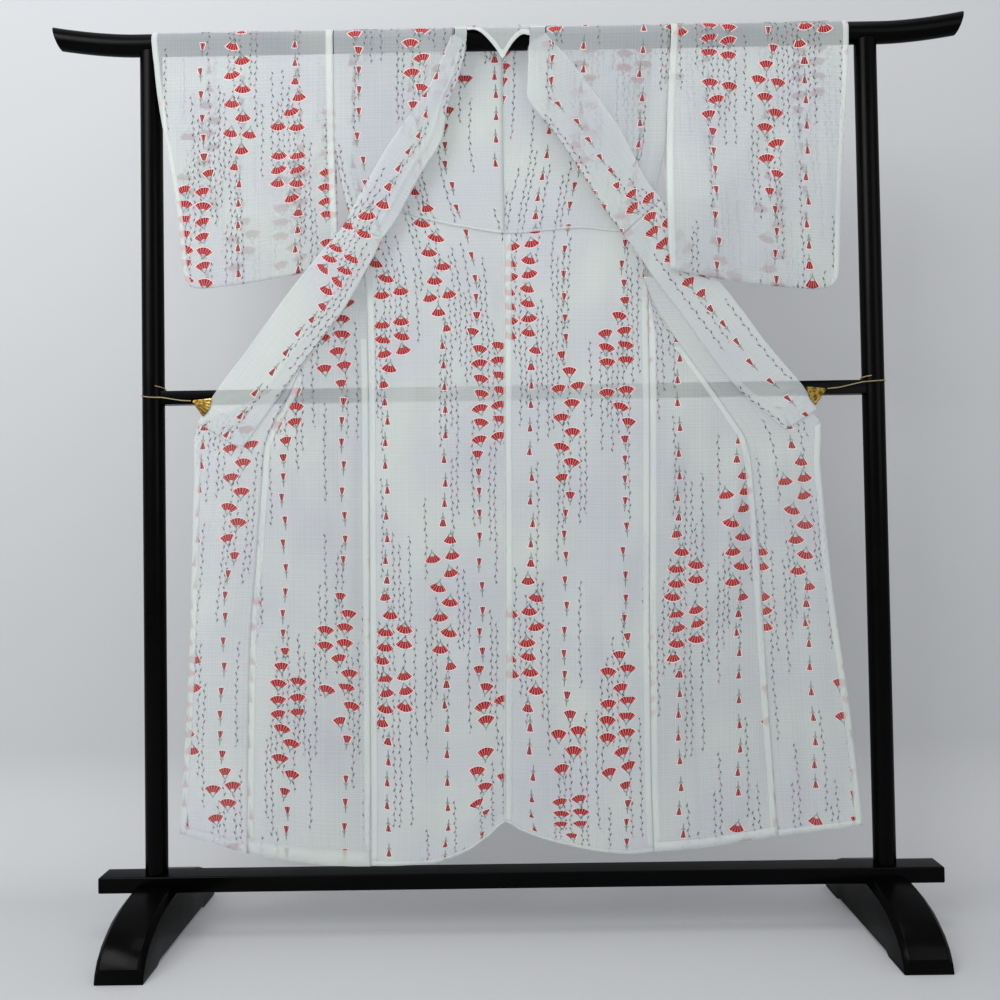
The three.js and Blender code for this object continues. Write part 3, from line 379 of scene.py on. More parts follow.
def front_rows(side, lapel, gore, neck_x):
    """The front's two edges in step: side seam, and the edge that the lapel and the gore are sewn to."""
    rows = []
    for i, edge in enumerate(lapel.rows()[:11]):
        z = edge["roll_z"] if i else RAIL_Z
        rows.append((side.at("z", z, "x"), side.at("z", z, "front_y"), z,
                     edge["roll_x"] if i else neck_x, edge["roll_y"] + 2.4, z))
    low, gore_low = side.through(side.count - 1, "z"), gore.through(gore.count - 1, "seam_z")
    for edge in gore.rows():
        z = edge["seam_z"]
        down = z if z >= LEVEL_Z else lerp(LEVEL_Z, low, (LEVEL_Z - z) / (LEVEL_Z - gore_low))
        rows.append((side.at("z", down, "x"), side.at("z", down, "front_y"), down, edge["seam_x"],
                     edge["seam_y"], z))
    return Table("sx sy sz ex ey ez", *rows)


def front_place(rows, neck_x, folds):
    """The front panel: u runs from the side seam to its other edge, which the lapel carries outward."""
    last = rows.count - 1
    folds = folds.rows()

    def spot(u, p):
        return tuple(lerp(rows.through(p, "s" + axis), rows.through(p, "e" + axis), u) for axis in "xyz")

    def place(u, v):
        s = round(v * (last + FRONT_ARC_ROWS), 6)
        if s < FRONT_ARC_ROWS:
            x = lerp(rows.through(0, "sx"), neck_x, u)
            return round_rail(x, -90 * s / FRONT_ARC_ROWS, WRAP)
        p = round(s - FRONT_ARC_ROWS, 6)
        x, y, z = to_hem(spot, u, p, last, 2)
        wide = abs(rows.through(p, "ex") - rows.through(p, "sx"))
        calm = smooth(u * 6) * smooth((1 - u) * 6) * smooth((wide - 60) / 80)
        return x, y - (fold_height(folds, x, z) + crumple(x, z, 1)) * calm, z

    return place


def gore_place(gore, folds):
    """The gore: u runs from its seam with the front to its outer edge."""
    last = gore.count - 1
    folds = folds.rows()

    def spot(u, p):
        return (lerp(gore.through(p, "seam_x"), gore.through(p, "edge_x"), u),
                lerp(gore.through(p, "seam_y") - 2, gore.through(p, "edge_y") - 0.2, u),
                lerp(gore.through(p, "seam_z"), gore.through(p, "edge_z"), u))

    def place(u, v):
        p = round(v * last, 6)
        x, y, z = to_hem(spot, u, p, last, 2)
        calm = smooth(u * 4) * smooth((1 - u) * 4) * smooth((LEVEL_Z - z) / 60)
        return x, y - (fold_height(folds, x, z) + crumple(x, z, 1)) * calm, z

    return place


def lapel_place(lapel, start, end, over_rail):
    """A stretch of lapel: u runs from its sewn edge to its free edge, with a soft rise between them.

    A pressed crease runs down beside the sewn edge, and the end gathers a little toward the clip."""
    bend = LAPEL_ARC_ROWS if over_rail else 0
    grip_x, grip_z = (lapel.through(lapel.count - 2, "free_" + axis) for axis in "xz")

    def place(u, v):
        s = round(v * (end - start + bend), 6)
        if s < bend:
            x = lerp(lapel.through(0, "roll_x"), lapel.through(0, "free_x"), u)
            return round_rail(x, -90 * s / bend, NECK_WRAP)
        p = round(start + s - bend, 6)
        x, y, z = (lerp(lapel.through(p, "roll_" + axis), lapel.through(p, "free_" + axis), u) for axis in "xyz")
        rise = (1.2 + crumple(x, z, 8) * 0.7) * math.sin(math.pi * u) + 1.1 * math.exp(-((u - 0.26) / 0.045) ** 2)
        away = math.hypot(x - grip_x, z - grip_z)
        gather = 0.8 * (1 + math.sin(10 * math.atan2(z - grip_z, x - grip_x))) * math.exp(-away / 45)
        gather *= smooth(away / 12) * smooth(u * 6) * smooth((1 - u) * 8)
        return x, y - rise * smooth(p / 3) * smooth((lapel.count - 1 - p) / 4) - gather, z

    return place


def neck_place(u, v):
    """The collar at the neck: sewn behind the rail, folded over its top, its fall a point in front."""
    x = lerp(-73.7, 41.6, u)
    quarter = NECK_WRAP * math.pi / 2
    length = v * NECK_FLAP.at("x", clamp(round(x, 5), -72, 39), "length")
    if length < 2 * quarter:
        return round_rail(x, 90 - 90 * length / quarter, NECK_WRAP)
    return x, -NECK_WRAP - 0.6 * smooth((length - 2 * quarter) / 20), RAIL_Z - (length - 2 * quarter)


SLEEVE_ARC = 0.07    # share of the sleeve's ring that bends over the rail
SLEEVE_HEM_Z = 1185


def sleeve_place(inner, cuff, hem, depth, shoulder_x):
    """A sleeve folded over the rail: v runs up its front from the bottom, over the rail and down its back."""
    folds = FOLDS_SLEEVE.rows()

    def hang(u, drop, layer):
        x = lerp(inner.at("v", drop, "x"), cuff.at("v", drop, "x"), u)
        z = lerp(RAIL_Z, hem.at("u", u, "z"), drop)
        y = lerp(depth.at("v", drop, "inner_" + layer), depth.at("v", drop, "cuff_" + layer), u ** 1.3)
        calm = smooth(u * 9) * smooth((1 - u) * 9) * smooth(drop * 6) * smooth((1 - drop) * 7)
        if layer == "front":
            y -= (fold_height(folds, u, drop) + crumple(x, z, 4)) * calm
        else:
            y += 0.7 * (fold_height(folds, clamp(1 - u), drop) + crumple(x, z, 6)) * calm
        return x, y, z

    def place(u, v):
        half = (1 - SLEEVE_ARC) / 2
        if v < half:
            return hang(u, round(1 - v / half, 6), "front")
        if v > 1 - half:
            return hang(u, round((v - 1 + half) / half, 6), "back")
        x = lerp(shoulder_x, cuff.through(0, "x"), u)
        return round_rail(x, -90 + 180 * (v - half) / SLEEVE_ARC, WRAP)

    return place


# ---- the print: streams of closing and opening fans, with hanging willow between them ----

TAU = 2 * math.pi
STREAM_PITCH = 88              # millimetres from stream to stream
STREAM_SHIFT = (-13, 6, -18)   # how far each of three streams lies off its place
STREAM_TURN = (1, 1, -1)       # handles up, up and down
STREAM_OPEN = (551, 441, 60)   # where along the cloth each stream's fans are fully open
PERIOD = 630                   # from one open stretch to the next
FAN_MEAN = 0.0294              # fans to the millimetre
FAN_CROWD = 0.0077             # how many more where they are open
ZIGZAG = 9.5
PAIR_REACH = 17.5              # how far the fans of a pair hang from their middle
BRANCH_PITCH = STREAM_PITCH / 9
BRANCH_RUN = 285
LEAF_STEP = 11
THREAD_STEP = 0.9


class Amount:
    """A number on a material's tree, so that the print reads as plain sums."""

    def __init__(self, tree, socket):
        self.tree, self.socket = tree, socket

    def math(self, operation, *others):
        node = self.tree.nodes.new("ShaderNodeMath")
        node.operation = operation
        for port, value in zip(node.inputs, (self, *others)):
            if isinstance(value, Amount):
                self.tree.links.new(value.socket, port)
            else:
                port.default_value = value
        return Amount(self.tree, node.outputs[0])

    def __add__(self, other):
        return self.math("ADD", other)

    def __sub__(self, other):
        return self.math("SUBTRACT", other)

    def __mul__(self, other):
        return self.math("MULTIPLY", other)

    def __truediv__(self, other):
        return self.math("DIVIDE", other)

    def __rsub__(self, other):
        return self * -1 + other

    def __lt__(self, other):
        return self.math("LESS_THAN", other)

    def __gt__(self, other):
        return self.math("GREATER_THAN", other)

    def floor(self):
        return self.math("FLOOR")

    def size(self):
        return self.math("ABSOLUTE")

    def wave(self):
        return self.math("COSINE")

    def parity(self):
        """1 or -1 by turns for whole numbers."""
        return self.math("FLOORED_MODULO", 2) * 2 - 1

    def ramp(self, low, high):
        node = self.tree.nodes.new("ShaderNodeMapRange")
        node.interpolation_type = "SMOOTHSTEP"
        node.inputs["From Min"].default_value = low
        node.inputs["From Max"].default_value = high
        self.tree.links.new(self.socket, node.inputs["Value"])
        return Amount(self.tree, node.outputs["Result"])


def choose(kind, values):
    """One of three values, by a kind of 0, 1 or 2."""
    first, second, third = values
    last = (kind > 1.5) * (third - second) + first
    return last if second == first else (kind > 0.5) * (second - first) + last


def lots(*keys):
    """Three random numbers from 0 to 1 that depend on the keys alone."""
    tree = next(key.tree for key in keys if isinstance(key, Amount))
    joined = tree.nodes.new("ShaderNodeCombineXYZ")
    for port, key in zip(joined.inputs, keys):
        if isinstance(key, Amount):
            tree.links.new(key.socket, port)
        else:
            port.default_value = key
    noise = tree.nodes.new("ShaderNodeTexWhiteNoise")
    noise.noise_dimensions = "3D"
    tree.links.new(joined.outputs[0], noise.inputs["Vector"])
    parts = tree.nodes.new("ShaderNodeSeparateColor")
    tree.links.new(noise.outputs["Color"], parts.inputs[0])
    return [Amount(tree, out) for out in parts.outputs[:3]]


def fans(across, along, seed):
    """Streams of fans: leaf, its ends, pleats, handle, pale rim, and how far open. The widest hang in pairs by lot."""
    stream = (across / STREAM_PITCH).floor()
    kind = stream.math("FLOORED_MODULO", 3)
    turn = choose(kind, STREAM_TURN)
    phase = (along - choose(kind, STREAM_OPEN)) * (TAU / PERIOD)
    crowd = phase.wave() * FAN_CROWD + FAN_MEAN
    count = along * FAN_MEAN + phase.math("SINE") * (FAN_CROWD * PERIOD / TAU)
    fan = count.floor()
    y = (count - fan - 0.5) / crowd
    opened = (phase - y * (TAU / PERIOD)).wave().ramp(-0.1, 0.8)
    lean, drift, own = lots(stream, fan, seed)
    paired = (opened > 0.9) * (lean > 0.5)
    off = (fan.parity() * opened * ZIGZAG + choose(kind, STREAM_SHIFT)) * (paired * -1 + 1)
    x = across - (stream + 0.5) * STREAM_PITCH - off - (lean - 0.5) * 7
    side = x.math("SIGN") * paired
    x = x - side * PAIR_REACH
    y = (y + side * 3 - (drift - 0.5) * 3) * turn
    tilt = (own - 0.5) * (opened * 0.45 + 0.15)
    down = y - x * tilt + 11
    over = x + y * tilt
    radius = (over * over + down * down).math("SQRT")
    angle = over.math("ARCTAN2", down).size()
    spread = opened * (own * 0.12 + 0.46) + 0.24
    outer = opened * 3 + 19.5
    inner = opened * 3.3 + 6.5
    there = drift > 0.04
    share = angle / spread
    leaf = (radius < outer) * (radius > inner) * (share < 1) * there
    rim = (radius < outer + 1.5) * (radius > inner - 0.7) * ((angle - spread) * radius < 1.4) * there
    pleats = leaf * ((share * (opened * 1.8 + 1.2) + 0.3).math("FRACT") > 0.7)
    ribs = (radius < inner) * (angle < 0.66) * (angle > 0.36) * (down > 1)
    stem = (over.size() < 0.8) * (down < 6.5 - opened * 3) * (down + opened * -4 > -7)
    return leaf, share, pleats, ribs.math("MAXIMUM", stem) * there, rim, opened


def willow(across, along, seed):
    """Hanging willow: thin swaying stems in columns, with slanted leaves to left and right by turns."""
    column = (across / BRANCH_PITCH).floor()
    own, sway, _ = lots(column, seed, 1.5)
    kind = ((column + 0.5) / 9).floor().math("FLOORED_MODULO", 3)
    step = along / BRANCH_RUN + own
    run = step.floor()
    t = step - run
    start, stop, rare = lots(column, run, seed)
    middle = (run + 0.5 - own) * BRANCH_RUN
    near = ((middle - choose(kind, STREAM_OPEN)) * (TAU / PERIOD)).wave()
    alive = (t > start * 0.3) * (t < stop * -0.3 + 1) * (rare < near * 0.44 + 0.5)
    bend = (along / 29 + own * 40).math("SINE") * 1.1
    x = (across / BRANCH_PITCH - column - 0.5) * BRANCH_PITCH - (sway - 0.5) * 1.6 - bend
    stem = (x.size() < 0.4) * alive
    place = along / LEAF_STEP + own * 7
    leaf = place.floor()
    y = (place - leaf - 0.5) * LEAF_STEP
    shade, length, _ = lots(column, leaf, seed + 5)
    x = x * leaf.parity() - 1.5
    long = (x * 0.42 + y * 0.9) / (length * 1.6 + 2.3)
    wide = x * 0.9 - y * 0.42
    leaves = (long * long + wide * wide < 1) * alive
    return stem, leaves, shade


def linear(red, green, blue):
    """A colour as a screen shows it, 0 to 255, as the shader wants it."""
    return tuple((c / 255 / 12.92) if c <= 10 else ((c / 255 + 0.055) / 1.055) ** 2.4
                 for c in (red, green, blue)) + (1.0,)


def blended(tree, share, under, over):
    """Colour under with over laid on it by a share."""
    node = tree.nodes.new("ShaderNodeMix")
    node.data_type = "RGBA"
    for port, value in ((node.inputs[0], share), (node.inputs[6], under), (node.inputs[7], over)):
        if isinstance(value, Amount):
            tree.links.new(value.socket, port)
        elif isinstance(value, bpy.types.NodeSocket):
            tree.links.new(value, port)
        else:
            port.default_value = value
    return node.outputs[2]


# colours of the print and of the cloth, as a screen shows them
FAN_RED = linear(160, 12, 28)
FAN_MAROON = linear(130, 12, 36)
FAN_PLEAT = linear(236, 150, 146)
FAN_RIM = linear(242, 216, 210)
FAN_RIB = linear(104, 116, 110)
WILLOW_STEM = linear(142, 140, 150)
WILLOW_DARK = linear(62, 58, 72)
WILLOW_ROSE = linear(146, 92, 120)
GAUZE_COOL = linear(234, 239, 247)
GAUZE_MINT = linear(240, 250, 244)


def begun(name):
    """A new material, with its tree, its shader and short names for adding and joining nodes."""
    material = bpy.data.materials.new(name)
    material.use_nodes = True
    tree = material.node_tree
    return material, tree, tree.nodes["Principled BSDF"], tree.nodes.new, tree.links.new


def mottle(tree, vector, scale, detail, dimensions="3D"):
    """Noise over a place, or along a line in one dimension."""
    node = tree.nodes.new("ShaderNodeTexNoise")
    node.noise_dimensions = dimensions
    node.inputs["Scale"].default_value = scale
    node.inputs["Detail"].default_value = detail
    tree.links.new(vector, node.inputs["W" if dimensions == "1D" else "Vector"])
    return Amount(tree, node.outputs[0])


def raised(tree, height, strength, distance):
    """Gives the tree's shader a bump."""
    bump = tree.nodes.new("ShaderNodeBump")
    bump.inputs["Strength"].default_value = strength
    bump.inputs["Distance"].default_value = distance
    tree.links.new(height.socket, bump.inputs["Height"])
    tree.links.new(bump.outputs[0], tree.nodes["Principled BSDF"].inputs["Normal"])


def gauze(name, fade, solid, tint):
    """Printed gauze: fade is how far the print is washed out, solid how much of the face isn't open weave,
    tint how far its white leans to mint."""
    material, tree, shader, new, link = begun(name)
    material.use_transparent_shadow = False
    spot = new("ShaderNodeUVMap")
    spot.uv_map = "flat"
    parts = new("ShaderNodeSeparateXYZ")
    link(spot.outputs[0], parts.inputs[0])
    across, along = (Amount(tree, parts.outputs[i]) * 1000 for i in (0, 1))

    # slubs: threads a little thicker or thinner, down and across the cloth
    slubs = 0.0
    if fade < 1:
        for way in (across, along):
            slubs = mottle(tree, way.socket, 0.55, 0, "1D") - 0.5 + slubs
    cloud = mottle(tree, spot.outputs[0], 8, 0, "2D") - 0.5

    colour = blended(tree, cloud * 1.3 + tint, GAUZE_COOL, GAUZE_MINT)
    printed = 0.0
    if fade < 1:
        leaf, share, pleats, ribs, rim, opened = fans(across, along, 3.5)
        stem, leaves, shade = willow(across, along, 2.5)
        willow_leaf = blended(tree, shade < 0.3, WILLOW_DARK, WILLOW_ROSE)
        red = blended(tree, opened * (1.25 - share * share * 0.6) + 0.12, FAN_MAROON, FAN_RED)
        for where, strength, ink in ((stem, 0.85, WILLOW_STEM), (leaves, 0.95, willow_leaf), (rim, 0.6, FAN_RIM),
                                     (ribs, 0.9, FAN_RIB), (leaf, 1, red), (pleats, 0.75, FAN_PLEAT)):
            colour = blended(tree, where * (strength * (1 - fade)), colour, ink)
        inked = rim.math("MAXIMUM", leaves).math("MAXIMUM", ribs * 0.8).math("MAXIMUM", stem * 0.5)
        printed = inked * ((0.95 - solid) * (1 - fade)) + slubs * 0.06
    link(colour, shader.inputs["Base Color"])
    link((cloud * 0.06 + solid + printed).math("MINIMUM", 0.98).socket, shader.inputs["Alpha"])
    link((cloud * 0.2 + 0.76).socket, shader.inputs["Roughness"])
    shader.inputs["Specular IOR Level"].default_value = 0.08

    warp, weft = ((way * (TAU / THREAD_STEP)).wave() for way in (across, along))
    raised(tree, warp + weft, 0.3, 0.00015)
    return material


outer_gauze = gauze("gauze_right_side", 0.0, 0.32, 0.5)
back_gauze = gauze("gauze_of_the_back", 0.02, 0.44, 0.5)
front_gauze = gauze("gauze_of_the_fronts", 0.03, 0.33, 0.5)
lapel_gauze = gauze("gauze_lapel", 0.0, 0.4, 0.6)
bare_gauze = gauze("gauze_unprinted_face", 1, 0.3, 0.5)
seam_gauze = gauze("gauze_doubled_seam", 1, 0.4, 0.9)


# ---- the garment ----

def laid(across, along, shift_across=0.0, shift_along=0.0, way=1):
    """Where a sheet lies on the printed length: its shift across and along, and its way, 1 down or -1 up."""
    return lambda u, v: (across(u, v) + shift_across, shift_along + way * along(u, v))


def patch(name, place, cut, u_range, v_range, across, along, lift):
    """A doubled strip on a sheet, such as a seam allowance or a turned hem, on the side toward the viewer."""
    def at(value, v):
        return value(v) if callable(value) else value

    def spot(a, b):
        v = lerp(v_range[0], v_range[1], b)
        return clamp(lerp(at(u_range[0], v), at(u_range[1], v), a)), v

    def strip_place(a, b):
        x, y, z = place(*spot(a, b))
        return x, y - lift, z

    strip = cloth(name, across, along, strip_place, lambda a, b: cut(*spot(a, b)), seam_gauze, STRIP_SHELL)
    strip.visible_shadow = False  # too close to its sheet for an open weave to shade it
    return strip


def back_panel(hand, side, gap, folds, *lie):
    """One half of the back. Its lie, like every sheet's, is where and which way it was cut from the printed length."""
    place = back_place(side, gap, folds)
    last = side.count - 1

    def row(v):
        return max(0.0, round(v * (last + ARC_ROWS) - ARC_ROWS, 5))

    def width(v):
        return abs(CENTRE.through(row(v), "x") - side.through(row(v), "x"))

    def length(u, v):
        s = v * (last + ARC_ROWS)
        return OVER_RAIL * min(1, s / ARC_ROWS) + RAIL_Z - side.through(row(v), "z")

    cut = laid(lambda u, v: u * width(v), length, *lie)
    sheet = cloth("back_%s_cloth" % hand, 52, 250, place, cut, back_gauze, both_sides=True)
    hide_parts("back_" + hand)
    strips = [patch("side_seam_" + hand, place, cut, (0, lambda v: 13 / width(v)), (0.24, 0.995), 3, 150, 0.7),
              patch("hem_back_" + hand, place, cut, (0, 1), (0.9945, 1), 40, 2, 0.9)]
    if hand == "left":
        strips.append(patch("centre_seam", place, cut, (lambda v: 1 - 12 / width(v), 1), (0.03, 0.995), 3, 180, 0.7))
    else:
        edge = patch("centre_seam_edge", place, cut, (lambda v: 1 - 3 / width(v), 1), (0.03, 0.995), 1, 180, 0.9)
        strips.append(edge)


BACK_HALVES = (("right", SIDE_RIGHT, -0.1, FOLDS_BACK_RIGHT, 0, 0, 1),
               ("left", SIDE_LEFT, 0.1, FOLDS_BACK_LEFT, -15, 1205, -1))
for half in BACK_HALVES:
    back_panel(*half)


def yoke(hand, side, gap, folds, shift_across, shift_along, way):
    """The doubled lining of the upper back, which follows the back one seam nearer the viewer."""
    back = back_place(side, gap, folds)
    last = side.count - 1

    def place(u, v):
        u = lerp(YOKE_INSET, 1, u)
        x0 = back(u, 0.2)[0]
        low = YOKE_EDGE.at("x", x0, "z")
        z = lerp(YOKE_TOP_Z, low, v)
        row = side.row_of("z", z)
        x, y, _ = back(u, round((row + ARC_ROWS) / (last + ARC_ROWS), 6))
        return x, y - YOKE_LIFT, z

    def cut(u, v):
        x, _, z = place(u, v)
        from_seam = abs(x - side.at("z", z, "x"))
        return from_seam + shift_across, shift_along + way * (RAIL_Z - z + OVER_RAIL)

    sheet = cloth("yoke_%s_cloth" % hand, 30, 50, place, cut, back_gauze, both_sides=True)
    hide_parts("yoke_" + hand)
    edge = patch("yoke_edge_" + hand, place, cut, (0, 1), (0.985, 1), 30, 1, 0.5)


for half in BACK_HALVES:
    yoke(*half)


def front_panel(hand, side, lapel, gore, neck_x, folds, *lie):
    rows = front_rows(side, lapel, gore, neck_x)
    place = front_place(rows, neck_x, folds)
    last = rows.count - 1

    def row(v):
        return max(0.0, round(v * (last + FRONT_ARC_ROWS) - FRONT_ARC_ROWS, 5))

    def width(v):
        return max(40.0, abs(rows.through(row(v), "ex") - rows.through(row(v), "sx")))

    def length(u, v):
        s = v * (last + FRONT_ARC_ROWS)
        return OVER_RAIL * min(1, s / FRONT_ARC_ROWS) + RAIL_Z - rows.through(row(v), "sz")

    cut = laid(lambda u, v: u * width(v), length, *lie)
    sheet = cloth("front_%s_cloth" % hand, 46, 260, place, cut, front_gauze, both_sides=True)
    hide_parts("front_" + hand)
    seam = patch("front_seam_" + hand, place, cut, (0, lambda v: 12 / width(v)), (0.56, 0.995), 3, 110, 0.7)
    gore_seam = patch("gore_seam_" + hand, place, cut, (lambda v: 1 - 13 / width(v), 1), (0.64, 0.995), 3, 110,
                      0.7)
    hem = patch("hem_front_" + hand, place, cut, (0, 1), (0.9935, 1), 34, 2, 0.9)


front_panel("right", SIDE_RIGHT, LAPEL_RIGHT, GORE_RIGHT, NECK_RIGHT_X, FOLDS_FRONT_RIGHT, -15, 481, -1)
front_panel("left", SIDE_LEFT, LAPEL_LEFT, GORE_LEFT, NECK_LEFT_X, FOLDS_FRONT_LEFT, -19, 105, 1)


def gore_panel(hand, gore, folds, *lie):
    place = gore_place(gore, folds)
    last = gore.count - 1

    def row(v):
        return round(v * last, 5)

    def width(v):
        return max(20.0, abs(gore.through(row(v), "edge_x") - gore.through(row(v), "seam_x")))

    def length(u, v):
        return RAIL_Z - lerp(gore.through(row(v), "seam_z"), gore.through(row(v), "edge_z"), u)

    cut = laid(lambda u, v: u * width(v), length, *lie)
    sheet = cloth("gore_%s_cloth" % hand, 24, 180, place, cut, front_gauze)
    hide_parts("okumi_" + hand)
    edge = patch("front_edge_" + hand, place, cut, (lambda v: 1 - 12 / width(v), 1), (0.52, 1), 3, 90, 0.7)
    hem = patch("hem_gore_" + hand, place, cut, (0, 1), (0.9905, 1), 20, 2, 0.9)


gore_panel("right", GORE_RIGHT, FOLDS_GORE_RIGHT, 92, 1267, -1)
gore_panel("left", GORE_LEFT, FOLDS_GORE_LEFT, 62, 165, 1)


def lapel_piece(node, lapel, start, end, rests_on, flat, *lie):
    over_rail = rests_on == "rail_top"
    place = lapel_place(lapel, start, end, over_rail)
    runs = [0.0]
    for a, b in zip(lapel.rows(), lapel.rows()[1:]):
        runs.append(runs[-1] + math.dist((a["roll_x"], a["roll_z"]), (b["roll_x"], b["roll_z"])))
    along = Table("row run", *enumerate(runs))
    bend = LAPEL_ARC_ROWS if over_rail else 0

    def row(v):
        return max(float(start), round(start + v * (end - start + bend) - bend, 5))

    def width(v):
        p = row(v)
        return math.dist((lapel.through(p, "roll_x"), lapel.through(p, "roll_z")),
                         (lapel.through(p, "free_x"), lapel.through(p, "free_z")))

    cut = laid(lambda u, v: u * width(v), lambda u, v: along.through(row(v), "run"), *lie)
    sheet = cloth(node + "_cloth", 32, max(40, round((end - start) * 12)), place, cut, lapel_gauze, LAPEL_SHELL)
    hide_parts(node)


lapel_piece("overcollar_right", LAPEL_RIGHT, 0, OVERCOLLAR_RIGHT_ROW, "rail_top", (0.07, 0.42), -10, 91, 1)
lapel_piece("overcollar_left", LAPEL_LEFT, 0, OVERCOLLAR_LEFT_ROW, "rail_top", (0.088, 0.44), -15, 411, -1)
lapel_piece("collar_right", LAPEL_RIGHT, OVERCOLLAR_RIGHT_ROW, LAPEL_RIGHT.count - 1, "overcollar_right_cloth",
            (0.095, 0.47), -6, 91, 1)
lapel_piece("collar_left", LAPEL_LEFT, OVERCOLLAR_LEFT_ROW, LAPEL_LEFT.count - 1, "overcollar_left_cloth",
            (0.09, 0.47), -18, 411, -1)

neck_cut = laid(lambda u, v: u * 112 + 20, lambda u, v: v * 110)
neck = cloth("overcollar_neck_cloth", 40, 44, neck_place, neck_cut, lapel_gauze, LAPEL_SHELL, seen=(0.6, 1))
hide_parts("overcollar_neck")
band = patch("neck_band", neck_place, neck_cut, (0, 1), (0.87, 1), 40, 4, 0.7)


def sleeve(hand, inner, cuff, hem, depth, shoulder_x, *lie):
    place = sleeve_place(inner, cuff, hem, depth, shoulder_x)
    drop = RAIL_Z - SLEEVE_HEM_Z

    def across(u, v):
        x, _, _ = place(u, v)
        return abs(x - shoulder_x)

    cut = laid(across, lambda u, v: (0.5 - v) * 2 * (drop + OVER_RAIL), *lie)
    sheet = cloth("sleeve_%s_cloth" % hand, 52, 170, place, cut, outer_gauze)
    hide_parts("sleeve_" + hand)
    seam = patch("armhole_seam_" + hand, place, cut, (0, 0.04), (0.004, 0.5), 3, 70, 0.6)
    wrist = patch("cuff_edge_" + hand, place, cut, (0.968, 1), (0.004, 0.5), 3, 70, 0.6)


sleeve("right", INNER_RIGHT, CUFF_RIGHT, HEM_SLEEVE_RIGHT, DEPTH_SLEEVE_RIGHT, SHOULDER_RIGHT_X - 0.9, -39, 300, 1)
sleeve("left", INNER_LEFT, CUFF_LEFT, HEM_SLEEVE_LEFT, DEPTH_SLEEVE_LEFT, SHOULDER_LEFT_X + 0.9, -41, 642, -1)


# ---- the rack ----

def black_lacquer():
    """Black lacquer with a clear coat, faint cloudiness, fine dust and rubbed spots."""
    material, tree, shader, new, link = begun("black_lacquer")
    spot = new("ShaderNodeTexCoord").outputs["Object"]
    dust, cloud = mottle(tree, spot, 900, 2), mottle(tree, spot, 14, 5)
    specks = dust.ramp(0.66, 0.74) * cloud.ramp(0.4, 0.7)
    colour = blended(tree, cloud, linear(1, 1, 2), linear(4, 4, 5))
    colour = blended(tree, specks * 0.12, colour, linear(96, 96, 98))
    link(colour, shader.inputs["Base Color"])
    link((cloud * 0.22 + 0.2 + specks * 0.3).socket, shader.inputs["Roughness"])
    shader.inputs["Specular IOR Level"].default_value = 0.05
    shader.inputs["Coat Weight"].default_value = 0.03
    shader.inputs["Coat Roughness"].default_value = 0.08
    raised(tree, cloud + dust * 0.1, 0.12, 0.0004)
    return material


def old_gilt():
    """Antique gold, browner and rougher in random patches of noise."""
    material, tree, shader, new, link = begun("old_gilt")
    wear = mottle(tree, new("ShaderNodeTexCoord").outputs["Object"], 160, 4)
    link(blended(tree, wear.ramp(0.35, 0.65), linear(112, 84, 30), linear(206, 172, 92)), shader.inputs["Base Color"])
    link((wear * -0.3 + 0.52).socket, shader.inputs["Roughness"])
    shader.inputs["Metallic"].default_value = 1.0
    raised(tree, wear, 0.3, 0.0003)
    return material


def gold_twine():
    """Dull gold twine with its plies showing."""
    material, tree, shader, new, link = begun("gold_twine")
    spot = new("ShaderNodeTexCoord")
    parts = new("ShaderNodeSeparateXYZ")
    link(spot.outputs["Object"], parts.inputs[0])
    x, y, z = (Amount(tree, parts.outputs[i]) for i in range(3))
    ply = ((x + y + z * 1.6) * 2600).wave()
    link(blended(tree, ply.ramp(-1, 1), linear(126, 110, 70), linear(206, 190, 142)), shader.inputs["Base Color"])
    link((ply * 0.08 + 0.7).socket, shader.inputs["Roughness"])
    raised(tree, ply, 0.5, 0.0003)
    return material


lacquer, gilt, twine = black_lacquer(), old_gilt(), gold_twine()


def round_over(made, width, sharp):
    """Rounds the edges that turn by more than an angle in degrees."""
    bevel = made.modifiers.new("eased edges", "BEVEL")
    bevel.width = width * MM
    bevel.segments = 3
    bevel.limit_method = "ANGLE"
    bevel.angle_limit = math.radians(sharp)
    bevel.harden_normals = True


def eased(name, node, width):
    """A copy of a squared timber with its edges eased, as lacquered wood is."""
    bm = bmesh.new()
    bm.from_mesh(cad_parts[node].data)
    bmesh.ops.remove_doubles(bm, verts=bm.verts, dist=1e-5)
    bmesh.ops.dissolve_limit(bm, angle_limit=math.radians(1), verts=bm.verts, edges=bm.edges)
    made = piece(name, bm, lacquer)
    round_over(made, width, 28)
    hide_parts(node)


for node, width in (("beam_bottom", 1.6), ("rail_middle", 1.2), ("foot_right", 1.4), ("foot_left", 1.4)):
    eased(node + "_timber", node, width)


def turned_timber(node, rings, segments=64):
    """A round timber drawn out from ring to ring, each ring given as a function of its angle."""
    bm = bmesh.new()
    first = bmesh.ops.create_circle(bm, cap_ends=True, segments=segments, radius=1)["verts"]
    angles = [math.atan2(v.co.y, v.co.x) for v in first]
    for vert, a in zip(first, angles):
        vert.co = Vector(rings[0](a)) * MM
    ring = first
    for shape in rings[1:]:
        edges = [e for e in bm.edges if all(v in ring for v in e.verts)]
        grown = bmesh.ops.extrude_edge_only(bm, edges=edges)["geom"]
        links = {v: next(e.other_vert(v) for e in v.link_edges if e.other_vert(v) in ring)
                 for v in grown if isinstance(v, bmesh.types.BMVert)}
        order = {old: new for new, old in links.items()}
        ring = [order[v] for v in ring]
        for vert, a in zip(ring, angles):
            vert.co = Vector(shape(a)) * MM
    bmesh.ops.contextual_create(bm, geom=ring)
    bmesh.ops.recalc_face_normals(bm, faces=bm.faces)
    made = piece(node + "_timber", bm, lacquer)
    round_over(made, 1.2, 40)
    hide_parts(node)


